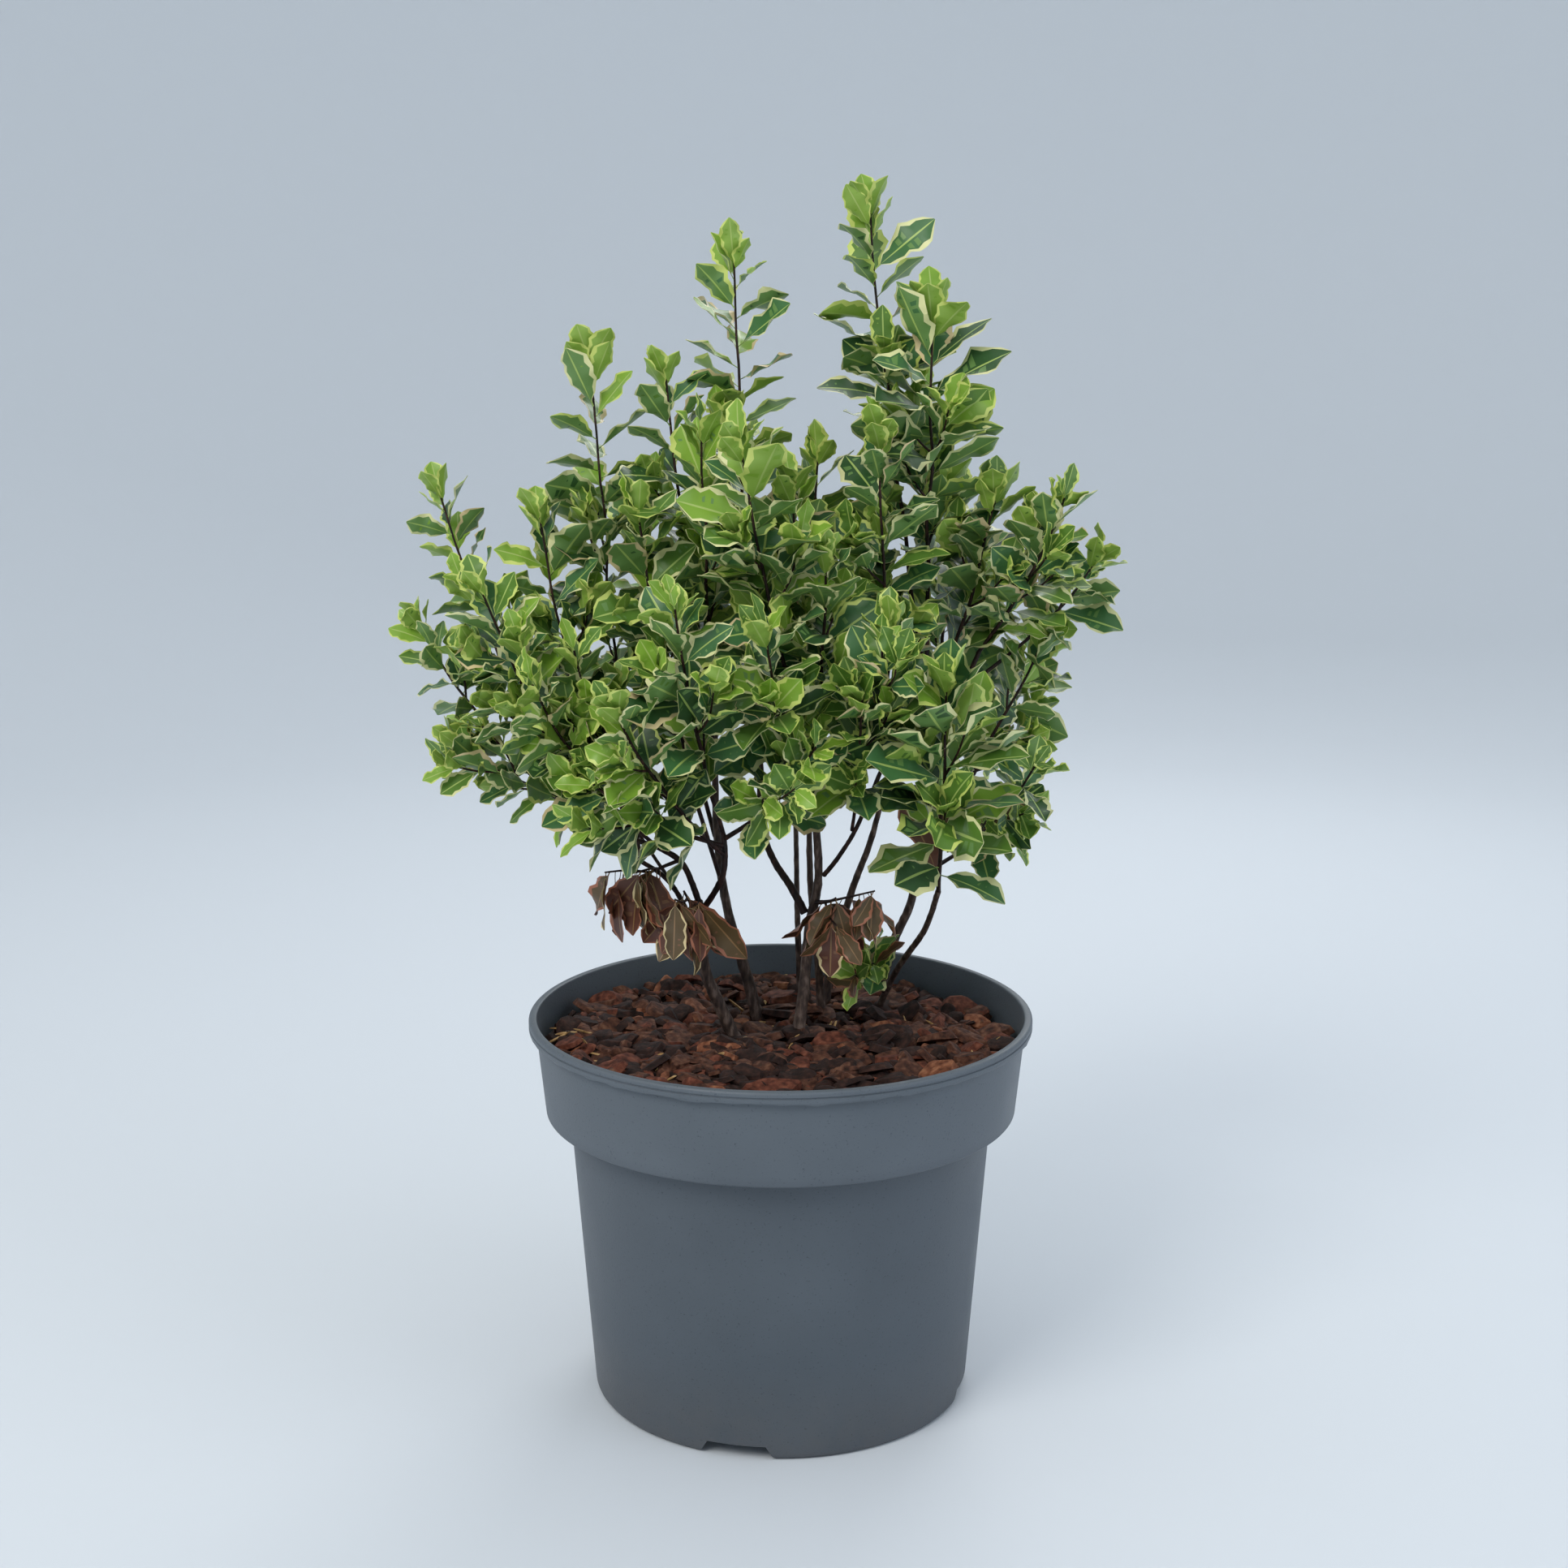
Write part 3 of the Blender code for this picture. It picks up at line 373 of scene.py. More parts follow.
# Mulch: chipped conifer bark, tipped loosely over the compost. A dark bed lies
# below and the chips lie on it at every angle, a few straw splinters among them.
MULCH_LEVEL = 0.2035
BED_RADIUS = 0.1318
BED_SKIRT_FOOT = 0.182
BED_UNDER_LEVEL = 0.0020
BED_UNDER_CHIPS = 0.004
LUMP_HEIGHT = 0.0022
LUMP_SCALE = 38
LEAN_BACK = -0.030
LEAN_RIGHT = -0.012
CHIP_COUNT = 1900
CHIP_KINDS = 14
CHIP_CORNERS = (5, 6, 7)
CHIP_SHORTEST = 0.009
CHIP_SPREAD = 0.024
CHIP_THICKEST = 0.0045
CHIP_TILT = 0.38
CHIP_ROLL = 0.30
WALL_ROOM = 0.007


def bed_height(x, y):
    """Height of the bed: higher in front, lower at the back and to the right."""
    lumps = LUMP_HEIGHT * noise.noise(Vector((x * LUMP_SCALE, y * LUMP_SCALE, 0.0)))
    lean = LEAN_BACK * y + LEAN_RIGHT * x
    return MULCH_LEVEL - BED_UNDER_LEVEL + lumps + lean


def mulch_tone(name, dark, mid, light):
    """Bark of one age: fibrous and dull."""
    material, tree, shader = new_material(name, mid, 0.82, 0.25)
    here = place_in(tree)
    fibre = add_node(tree, "ShaderNodeTexNoise", inputs={"Scale": 260.0, "Detail": 8.0},
                     links={"Vector": here})
    colours = ramp(tree, fibre.outputs["Fac"], [(0.32, dark), (0.52, mid), (0.72, light)])
    tree.links.new(colours.outputs["Color"], shader.inputs["Base Color"])
    bump = add_node(tree, "ShaderNodeBump", inputs={"Strength": 0.8, "Distance": 0.0008},
                    links={"Height": fibre.outputs["Fac"]})
    tree.links.new(bump.outputs["Normal"], shader.inputs["Normal"])
    return material


# Bark from fresh to old, and straw
bark_tones = [
    mulch_tone("dark_bark_chip", "#160c0a", "#2c1a15", "#452c24"),
    mulch_tone("brown_bark_chip", "#2a1812", "#523225", "#73503d"),
    mulch_tone("red_bark_chip", "#35190f", "#5e3224", "#7f4c39"),
    mulch_tone("orange_bark_chip", "#4e2a1a", "#7c4b34", "#9c6b4e"),
    mulch_tone("straw_splinter", "#80603a", "#b08c5c", "#cdb184"),
]
STRAW = 4
TONE_SHARES = (0.36, 0.38, 0.16, 0.05, 0.05)

bed_bm = bmesh.new()
bmesh.ops.create_circle(bed_bm, cap_ends=True, cap_tris=True, segments=96, radius=BED_RADIUS)
bmesh.ops.subdivide_edges(bed_bm, edges=bed_bm.edges, cuts=3, use_grid_fill=True)
for vert in bed_bm.verts:
    vert.co.z = bed_height(vert.co.x, vert.co.y) - BED_UNDER_CHIPS
skirt = [edge for edge in bed_bm.edges if edge.is_boundary]
lower = bmesh.ops.extrude_edge_only(bed_bm, edges=skirt)["geom"]
for element in lower:
    if isinstance(element, bmesh.types.BMVert):
        element.co.z = BED_SKIRT_FOOT
bmesh.ops.recalc_face_normals(bed_bm, faces=bed_bm.faces)
bed = finished("compost_bed", bed_bm, [bark_tones[0]], 40.0)

chance = random.Random(7)
chip_shapes = []
for kind in range(CHIP_KINDS):
    chip = bmesh.new()
    bmesh.ops.create_circle(chip, cap_ends=True, segments=CHIP_CORNERS[kind % 3], radius=0.5)
    for vert in chip.verts:
        vert.co *= chance.uniform(0.70, 1.10)
    top = bmesh.ops.extrude_face_region(chip, geom=list(chip.faces))["geom"]
    for element in top:
        if isinstance(element, bmesh.types.BMVert):
            inward = chance.uniform(0.72, 0.98)
            element.co = element.co * inward + Vector((0, 0, chance.uniform(0.6, 1.2)))
    bmesh.ops.recalc_face_normals(chip, faces=chip.faces)
    bmesh.ops.bevel(chip, geom=list(chip.edges), offset=0.07, offset_type="OFFSET", segments=1,
                    profile=0.5, affect="EDGES", material=-1)
    bmesh.ops.triangulate(chip, faces=[face for face in chip.faces if len(face.verts) > 4])
    chip.verts.index_update()
    chip_shapes.append(([vert.co.copy() for vert in chip.verts],
                        [tuple(vert.index for vert in face.verts) for face in chip.faces]))
    chip.free()


def joined(name, parts, materials, smooth):
    """One piece from many (vertices, faces, material index of each face)."""
    verts, faces, slots = [], [], []
    for part_verts, part_faces, part_slots in parts:
        start = len(verts)
        verts.extend(part_verts)
        faces.extend([tuple(index + start for index in face) for face in part_faces])
        slots.extend(part_slots)
    mesh = bpy.data.meshes.new(name)
    mesh.from_pydata(verts, [], faces)
    for material in materials:
        mesh.materials.append(material)
    mesh.polygons.foreach_set("material_index", slots)
    mesh.shade_smooth()
    mesh.set_sharp_from_angle(angle=math.radians(smooth))
    mesh.update()
    piece = bpy.data.objects.new(name, mesh)
    bpy.context.scene.collection.objects.link(piece)
    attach(piece, "root")
    return piece


chips = []
for index in range(CHIP_COUNT):
    verts, faces = chip_shapes[chance.randrange(CHIP_KINDS)]
    reach = (BED_RADIUS - WALL_ROOM) * math.sqrt(chance.random())
    bearing = chance.uniform(0.0, math.tau)
    x, y = reach * math.cos(bearing), reach * math.sin(bearing)
    tone = chance.choices(range(5), TONE_SHARES)[0]
    length = CHIP_SHORTEST + CHIP_SPREAD * chance.random() ** 2.0
    width = length * chance.uniform(0.40, 0.85)
    thick = min(CHIP_THICKEST, length * chance.uniform(0.10, 0.24))
    if tone == STRAW:
        length, width, thick = chance.uniform(0.016, 0.038), 0.0018, 0.0012
    length = min(length, 2.0 * (BED_RADIUS + 0.001 - reach) + 0.004)
    turn = (Matrix.Rotation(chance.uniform(0, math.tau), 3, "Z")
            @ Matrix.Rotation(chance.gauss(0.0, CHIP_TILT), 3, "X")
            @ Matrix.Rotation(chance.gauss(0.0, CHIP_ROLL), 3, "Y"))
    height = bed_height(x, y) - 0.0035 + chance.uniform(0.0, 0.0050)
    place = Vector((x, y, height))
    shape = [place + turn @ Vector((v.x * length, v.y * width, v.z * thick)) for v in verts]
    chips.append((shape, faces, [tone] * len(faces)))
# One large flake of reddish bark lies at the front
verts, faces = chip_shapes[3]
turn = Matrix.Rotation(0.25, 3, "Z") @ Matrix.Rotation(0.30, 3, "X")
place = Vector((-0.006, -0.108, bed_height(-0.006, -0.108) + 0.001))
chips.append(([place + turn @ Vector((v.x * 0.040, v.y * 0.019, v.z * 0.005)) for v in verts],
              faces, [2] * len(faces)))
mulch = joined("bark_chips", chips, bark_tones, 50.0)
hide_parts("bark_mulch")

# Stems and boughs: wiry living wood, grey-brown where old and near black where
# young, with low ridges in its skin. They taper from the mulch upwards.
LIMB_SIDES = 14
LIMB_RINGS = 48
LIMB_RELIEF = 0.16
RELIEF_SCALE = 420.0
FOOT_FLARE = 0.22
FLARE_RINGS = 6.0
FOOT_SUNK = 0.006
GAP = 0.0003
LIMBS = {
    "stem_left": (None, 0.0, 0.0040, 0.0027, [
        (-0.024, -0.003, MULCH_LEVEL), (-0.032, -0.008, 0.218),
        (-0.042, -0.013, 0.246), (-0.045, -0.016, 0.284)]),
    "stem_left_back": (None, 0.0, 0.0038, 0.0016, [
        (-0.012, 0.033, MULCH_LEVEL), (-0.019, 0.032, 0.226),
        (-0.030, 0.031, 0.266), (-0.036, 0.034, 0.310), (-0.037, 0.040, 0.368)]),
    "stem_middle": (None, 0.0, 0.0036, 0.0016, [
        (0.009, -0.003, MULCH_LEVEL), (0.013, 0.001, 0.228),
        (0.016, 0.007, 0.262), (0.021, 0.006, 0.292), (0.019, 0.000, 0.330),
        (0.018, -0.008, 0.364)]),
    "stem_middle_back": (None, 0.0, 0.0025, 0.0012, [
        (0.024, 0.046, MULCH_LEVEL), (0.021, 0.044, 0.240),
        (0.017, 0.040, 0.280), (0.016, 0.042, 0.330), (0.015, 0.045, 0.372)]),
    "stem_thin": (None, 0.0, 0.0021, 0.0011, [
        (0.012, 0.078, MULCH_LEVEL), (0.010, 0.077, 0.246),
        (0.009, 0.072, 0.300), (0.008, 0.068, 0.345)]),
    "stem_fork": (None, 0.0, 0.0027, 0.0014, [
        (0.026, 0.068, MULCH_LEVEL), (0.031, 0.067, 0.232),
        (0.042, 0.061, 0.272), (0.052, 0.055, 0.302), (0.062, 0.050, 0.344)]),
    "stem_back_right": (None, 0.0, 0.0030, 0.0016, [
        (0.060, 0.104, MULCH_LEVEL), (0.069, 0.103, 0.230),
        (0.079, 0.099, 0.258), (0.084, 0.086, 0.312), (0.084, 0.070, 0.366),
        (0.083, 0.058, 0.402)]),
    "stem_front_right": (None, 0.0, 0.0020, 0.0016, [
        (0.056, 0.058, MULCH_LEVEL), (0.067, 0.040, 0.229),
        (0.081, 0.019, 0.258), (0.087, -0.002, 0.286)]),
    "bough_left_low": ("stem_left", 1.0, 0.0018, 0.0012, [
        (-0.053, -0.012, 0.303), (-0.066, -0.010, 0.312),
        (-0.082, -0.009, 0.318), (-0.100, -0.008, 0.332)]),
    "bough_left_under": ("stem_left", 0.80, 0.0015, 0.0011, [
        (-0.062, 0.004, 0.290), (-0.087, 0.013, 0.305), (-0.113, 0.021, 0.322)]),
    "bough_hub": ("stem_left", 0.90, 0.0018, 0.0015, [
        (-0.032, -0.024, 0.298), (-0.030, -0.026, 0.313), (-0.031, -0.027, 0.324)]),
    "bough_middle_left": ("stem_middle", 0.42, 0.0024, 0.0015, [
        (0.006, 0.014, 0.284), (-0.004, 0.022, 0.298),
        (-0.010, 0.028, 0.314), (-0.012, 0.034, 0.340)]),
    "bough_diagonal": ("stem_middle", 0.58, 0.0014, 0.0011, [
        (0.032, -0.004, 0.306), (0.042, -0.014, 0.326), (0.056, -0.032, 0.366)]),
    "bough_right": ("stem_back_right", 0.72, 0.0017, 0.0013, [
        (0.092, 0.064, 0.368), (0.104, 0.056, 0.392), (0.112, 0.050, 0.412)]),
}

UPRIGHT, SPREADING, HANGING = 0.0, 0.4, 1.0
SHOOTS = {
    "foliage_left_low": ("bough_left_low", 1.0, (-0.176, 0.000, 0.368), 0.10, 0.030, 1, UPRIGHT),
    "foliage_left_middle": ("bough_left_low", 0.90, (-0.157, -0.030, 0.456), 0.12, 0.036, 2, UPRIGHT),
    "foliage_left_front": ("bough_left_low", 0.55, (-0.128, -0.060, 0.410), 0.10, 0.035, 2, UPRIGHT),
    "foliage_left_inner": ("bough_left_low", 0.70, (-0.108, -0.040, 0.425), 0.15, 0.033, 1, UPRIGHT),
    "foliage_left_far": ("bough_left_under", 1.0, (-0.202, 0.035, 0.432), 0.22, 0.030, 0, UPRIGHT),
    "foliage_left_high": ("bough_left_under", 0.86, (-0.191, 0.060, 0.500), 0.30, 0.032, 1, UPRIGHT),
    "foliage_left_tall": ("bough_left_under", 0.72, (-0.131, 0.020, 0.490), 0.25, 0.034, 2, UPRIGHT),
    "foliage_left_top": ("bough_left_under", 0.55, (-0.105, 0.052, 0.575), 0.35, 0.036, 2, UPRIGHT),
    "foliage_back_left_low": ("bough_left_under", 0.35, (-0.140, 0.125, 0.405), 0.20, 0.036, 2, SPREADING),
    "foliage_centre_left": ("stem_left_back", 0.60, (-0.077, 0.000, 0.498), 0.25, 0.035, 2, UPRIGHT),
    "foliage_centre_left_tall": ("stem_left_back", 1.0, (-0.063, 0.045, 0.566), 0.22, 0.035, 1, UPRIGHT),
    "foliage_centre_front": ("stem_left_back", 0.85, (-0.042, 0.000, 0.534), 0.28, 0.038, 1, UPRIGHT),
    "foliage_back_left": ("stem_left_back", 0.72, (-0.082, 0.115, 0.500), 0.20, 0.038, 2, UPRIGHT),
    "foliage_hub_front": ("bough_hub", 1.0, (-0.053, -0.084, 0.452), 0.20, 0.038, 1, UPRIGHT),
    "foliage_hub_left": ("bough_hub", 0.75, (-0.098, -0.072, 0.362), 0.12, 0.036, 1, SPREADING),
    "foliage_hub_right": ("bough_hub", 0.85, (0.018, -0.074, 0.380), 0.15, 0.034, 1, SPREADING),
    "foliage_front_left": ("bough_hub", 0.60, (-0.084, -0.088, 0.402), 0.25, 0.034, 0, UPRIGHT),
    "foliage_centre": ("stem_middle", 1.0, (-0.021, -0.030, 0.532), 0.10, 0.040, 1, UPRIGHT),
    "foliage_centre_right": ("stem_middle", 0.88, (0.024, -0.028, 0.474), 0.18, 0.034, 1, UPRIGHT),
    "foliage_front": ("stem_middle", 0.76, (-0.008, -0.078, 0.440), 0.22, 0.036, 2, UPRIGHT),
    "foliage_top_left": ("bough_middle_left", 1.0, (-0.026, 0.075, 0.628), 0.28, 0.038, 2, UPRIGHT),
    "foliage_back_centre": ("bough_middle_left", 0.75, (-0.022, 0.135, 0.520), 0.25, 0.038, 2, UPRIGHT),
    "foliage_inner_right": ("stem_middle_back", 1.0, (0.006, 0.020, 0.506), 0.15, 0.035, 1, UPRIGHT),
    "foliage_inner_back": ("stem_thin", 1.0, (0.021, 0.072, 0.520), 0.15, 0.036, 1, UPRIGHT),
    "foliage_back_middle": ("stem_thin", 0.75, (0.034, 0.150, 0.470), 0.22, 0.038, 2, UPRIGHT),
    "foliage_right_front": ("stem_fork", 1.0, (0.053, 0.000, 0.536), 0.20, 0.036, 2, UPRIGHT),
    "foliage_top": ("stem_back_right", 0.93, (0.049, 0.066, 0.656), 0.25, 0.040, 1, UPRIGHT),
    "foliage_top_right": ("stem_back_right", 1.0, (0.082, 0.030, 0.602), 0.10, 0.044, 3, UPRIGHT),
    "foliage_right_inner": ("stem_back_right", 0.84, (0.118, 0.034, 0.500), 0.22, 0.040, 1, UPRIGHT),
    "foliage_back_right": ("stem_back_right", 0.74, (0.108, 0.150, 0.490), 0.20, 0.040, 2, UPRIGHT),
    "foliage_back_right_low": ("stem_back_right", 0.50, (0.150, 0.135, 0.400), 0.20, 0.038, 2, SPREADING),
    "foliage_right_thin": ("stem_back_right", 0.56, (0.150, 0.062, 0.420), 0.35, 0.030, 0, UPRIGHT),
    "foliage_right_low": ("stem_back_right", 0.44, (0.140, 0.004, 0.356), 0.35, 0.032, 1, SPREADING),
    "foliage_right": ("bough_right", 1.0, (0.154, 0.020, 0.500), 0.10, 0.036, 1, UPRIGHT),
    "foliage_right_far": ("bough_right", 0.60, (0.180, 0.072, 0.462), 0.30, 0.034, 0, SPREADING),
    "foliage_front_right": ("stem_front_right", 1.0, (0.085, -0.066, 0.408), 0.02, 0.050, 1, UPRIGHT),
    "foliage_right_middle": ("bough_diagonal", 1.0, (0.052, -0.062, 0.430), 0.05, 0.036, 1, UPRIGHT),
    "foliage_front_middle": ("bough_diagonal", 0.60, (0.042, -0.064, 0.404), 0.12, 0.034, 0, UPRIGHT),
    "old_leaves_left": ("stem_left", 0.92, (-0.052, -0.034, 0.294), 0.10, 0.038, 0, HANGING),
    "old_leaves_bough": ("bough_left_low", 0.30, (-0.076, -0.026, 0.300), 0.20, 0.038, 0, HANGING),
    "old_leaves_middle": ("stem_middle", 0.50, (0.030, -0.018, 0.286), 0.30, 0.030, 0, HANGING),
    "old_leaves_foot": ("stem_front_right", 0.16, (0.052, 0.014, 0.240), 0.20, 0.034, 0, SPREADING),
}


def spline_point(places, share):
    """A point on the smooth curve through the places, at a share of their count."""
    spans = len(places) - 1
    scaled = min(max(share, 0.0), 1.0) * spans
    index = min(int(scaled), spans - 1)
    t = scaled - index
    before = places[max(index - 1, 0)]
    start, end = places[index], places[index + 1]
    after = places[min(index + 2, spans)]
    tangent_a = (end - before) * 0.5
    tangent_b = (after - start) * 0.5
    return (start * (2 * t ** 3 - 3 * t ** 2 + 1) + tangent_a * (t ** 3 - 2 * t ** 2 + t)
            + end * (3 * t ** 2 - 2 * t ** 3) + tangent_b * (t ** 3 - t ** 2))


def along(path, share):
    """Place and direction at a share of a path of many points."""
    scaled = min(max(share, 0.0), 1.0) * (len(path) - 1)
    index = min(int(scaled), len(path) - 2)
    place = path[index].lerp(path[index + 1], scaled - index)
    return place, (path[index + 1] - path[index]).normalized()


def frames(path):
    """Direction and one steady side direction at each point of a path."""
    result = []
    side_way = None
    for index in range(len(path)):
        ahead = path[min(index + 1, len(path) - 1)] - path[max(index - 1, 0)]
        ahead.normalize()
        if side_way is None:
            side_way = ahead.orthogonal().normalized()
        else:
            side_way = (side_way - ahead * side_way.dot(ahead)).normalized()
        result.append((ahead, side_way))
    return result


def side_foot(path, radii, share, toward, own_radius):
    """Where a side limb starts: just clear of its parent, on the side it leaves."""
    place, ahead = along(path, share)
    radius = radii[0] + (radii[-1] - radii[0]) * share
    if share >= 1.0:
        return path[-1] + ahead * GAP
    leave = (toward - place).normalized()
    across = leave - ahead * leave.dot(ahead)
    slant = max(across.length, 0.55)
    leave = (across.normalized() * slant + ahead * math.sqrt(1.0 - min(slant, 1.0) ** 2)
             * (1.0 if leave.dot(ahead) > 0 else -1.0)).normalized()
    sine = (leave - ahead * leave.dot(ahead)).length
    cosine = abs(leave.dot(ahead))
    distance = (radius + GAP * 1.6 + own_radius * cosine) / sine
    return place + leave * distance


def shoot_path(foot, tip, count):
    """A shoot that sets off outward and turns up to its tip."""
    rise = tip - foot
    length = rise.length
    outward = Vector((rise.x, rise.y, 0.0))
    bend = foot + rise * 0.5 + outward * 0.16 - Vector((0.0, 0.0, 0.035 * length))
    points = []
    for i in range(count):
        t = i / (count - 1)
        points.append(foot * (1 - t) ** 2 + bend * 2 * t * (1 - t) + tip * t ** 2)
    return points


def limb_paths():
    """Smooth path and radii of each stem and bough, parents first."""
    paths = {}
    for name, (parent, share, foot_radius, tip_radius, places) in LIMBS.items():
        places = [Vector(place) for place in places]
        if parent is not None:
            path, radii = paths[parent]
            places.insert(0, side_foot(path, radii, share, places[0], foot_radius))
            places[0] -= (places[1] - places[0]).normalized() * foot_radius
        else:
            places[0].z -= FOOT_SUNK
        path = [spline_point(places, i / (LIMB_RINGS - 1)) for i in range(LIMB_RINGS)]
        radii = []
        for i in range(LIMB_RINGS):
            radius = foot_radius + (tip_radius - foot_radius) * i / (LIMB_RINGS - 1)
            flare = FOOT_FLARE * max(0.0, 1.0 - i / FLARE_RINGS) if parent is None else 0.0
            radii.append(radius * (1.0 + flare))
        paths[name] = (path, radii)
    return paths


def woody_tube(path, radii, sides, relief, seed):
    """Vertices and faces of a limb, with low ridges in its skin."""
    verts, faces = [], []
    for place, radius, (ahead, side_way) in zip(path, radii, frames(path)):
        other_way = ahead.cross(side_way)
        for side in range(sides):
            angle = math.tau * side / sides
            offset = side_way * math.cos(angle) + other_way * math.sin(angle)
            rough = noise.noise(place * RELIEF_SCALE + offset * 1.7 + Vector((seed, 0, 0)))
            verts.append(place + offset * radius * (1.0 + relief * rough))
    for step in range(len(path) - 1):
        for side in range(sides):
            after = (side + 1) % sides
            low, high = step * sides, (step + 1) * sides
            faces.append((low + side, low + after, high + after, high + side))
    faces.append(tuple(range(sides))[::-1])
    faces.append(tuple(range((len(path) - 1) * sides, len(path) * sides)))
    return verts, faces


def stem_bark(name, dark, mid, light):
    """Thin bark, finely cracked along its length."""
    material, tree, shader = new_material(name, mid, 0.62, 0.35)
    here = place_in(tree)
    stretched = add_node(tree, "ShaderNodeMapping", inputs={"Scale": (1.0, 1.0, 0.30)},
                         links={"Vector": here})
    grain = add_node(tree, "ShaderNodeTexNoise", inputs={"Scale": 420.0, "Detail": 6.0},
                     links={"Vector": stretched.outputs["Vector"]})
    colours = ramp(tree, grain.outputs["Fac"], [(0.34, dark), (0.52, mid), (0.70, light)])
    tree.links.new(colours.outputs["Color"], shader.inputs["Base Color"])
    bump = add_node(tree, "ShaderNodeBump", inputs={"Strength": 0.6, "Distance": 0.0005},
                    links={"Height": grain.outputs["Fac"]})
    tree.links.new(bump.outputs["Normal"], shader.inputs["Normal"])
    return material


# Grey-brown bark of the old stems, near black bark of boughs, shoots and twigs
old_wood = stem_bark("old_stem_bark", "#2d221e", "#4d3d35", "#76645a")
young_wood = stem_bark("young_stem_bark", "#160c0c", "#2c1916", "#4a2e26")
limbs = limb_paths()
for name, (path, radii) in limbs.items():
    parent = LIMBS[name][0]
    verts, faces = woody_tube(path, radii, LIMB_SIDES, LIMB_RELIEF, len(name) * 3.7)
    limb = joined(name + "_wood", [(verts, faces, [0] * len(faces))],
                  [old_wood if parent is None else young_wood], 60.0)
    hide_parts(name)

# Foliage: each shoot is one slender stem with short side twigs, set all round
# with thick, wavy leaves. A leaf is green with toothed edges to its colour and
# a cream border, on a pale lime stalk and rib. Young leaves are limier, and
# the oldest, low on the stems, have turned bronze.
LEAF_SPACING = 0.0066
TWIG_LENGTH = 0.034
LEAF_TURN = math.radians(120.0)
TIP_LEAVES = 5
TIP_SPACING = 0.0026
YOUNG_REACH = 0.10
YOUNG_SPACING_SHARE = 0.74
# Angle between leaf and twig, in degrees: closed at the tip, wide lower down
TIP_ANGLE = 22.0
ANGLE_GAIN = 42.0
ANGLE_REACH = 0.055
HANG_ANGLE = 45.0
# Length of a leaf as a share of its shoot's full length
TIP_SIZE = 0.60
SIZE_GAIN = 0.48
SIZE_REACH = 0.034
# Points along and round a leaf, a shoot and a twig
LEAF_ROWS = 9
STEM_POINTS = 22
TWIG_POINTS = 7
TWIG_SKIN_SIDES = 5
SHOOT_SIDES = 7
# Shoots end thin, and waver a little on their way
SHOOT_TIP_RADIUS = 0.0006
SWAY = 0.0030
SWAY_SCALE = 26.0
# Shape of a leaf, as shares of its length or half width, then its thickness
LEAF_WIDTHS = (0.48, 0.60)
OLD_LEAF_WIDTHS = (0.36, 0.48)
LEAF_CURLS = (-0.05, 0.22)
LEAF_FOLDS = (0.04, 0.34)
LEAF_TWIST = 0.5
LEAF_WAVES = (0.12, 0.30)
GREEN_SHARES = (0.70, 0.86)
RIB_SHARE = 0.06
BLADE_THICKNESS = 0.00035
STALK_RADIUS = 0.0004


def leaf_skin(name, colour, roughness=0.40):
    """Leaf of one colour: leathery, with a waxy sheen."""
    return new_material(name, colour, roughness, 0.45)[0]


# Blades, margins, ribs and undersides, each in one plain colour
leaf_skins = [
    leaf_skin("leaf_blade_blue_green", "#437040"),
    leaf_skin("leaf_blade_deep_green", "#31562c"),
    leaf_skin("leaf_blade_olive_green", "#5a8030"),
    leaf_skin("leaf_blade_lime_green", "#82a838"),
    leaf_skin("leaf_blade_bronze", "#5a482c", 0.5),
    leaf_skin("leaf_blade_maroon", "#5d382b", 0.5),
    leaf_skin("leaf_margin_cream", "#e3e2a6"),
    leaf_skin("leaf_margin_lime_cream", "#cbd873"),
    leaf_skin("leaf_margin_tan", "#d8c493"),
    leaf_skin("leaf_margin_pink", "#a4694f"),
    leaf_skin("leaf_rib_pale_lime", "#a9c069"),
    leaf_skin("leaf_rib_brown", "#8a6a45"),
    leaf_skin("leaf_underside_sage", "#6a8f4e"),
    leaf_skin("leaf_underside_lime", "#8fb04a"),
    leaf_skin("leaf_underside_bronze", "#75523a", 0.5),
]
(BLUE, DEEP, OLIVE, LIME, BRONZE, MAROON, CREAM, LIME_CREAM, TAN, PINK, RIB, BROWN_RIB,
 UNDER, UNDER_LIME, UNDER_BRONZE) = range(15)


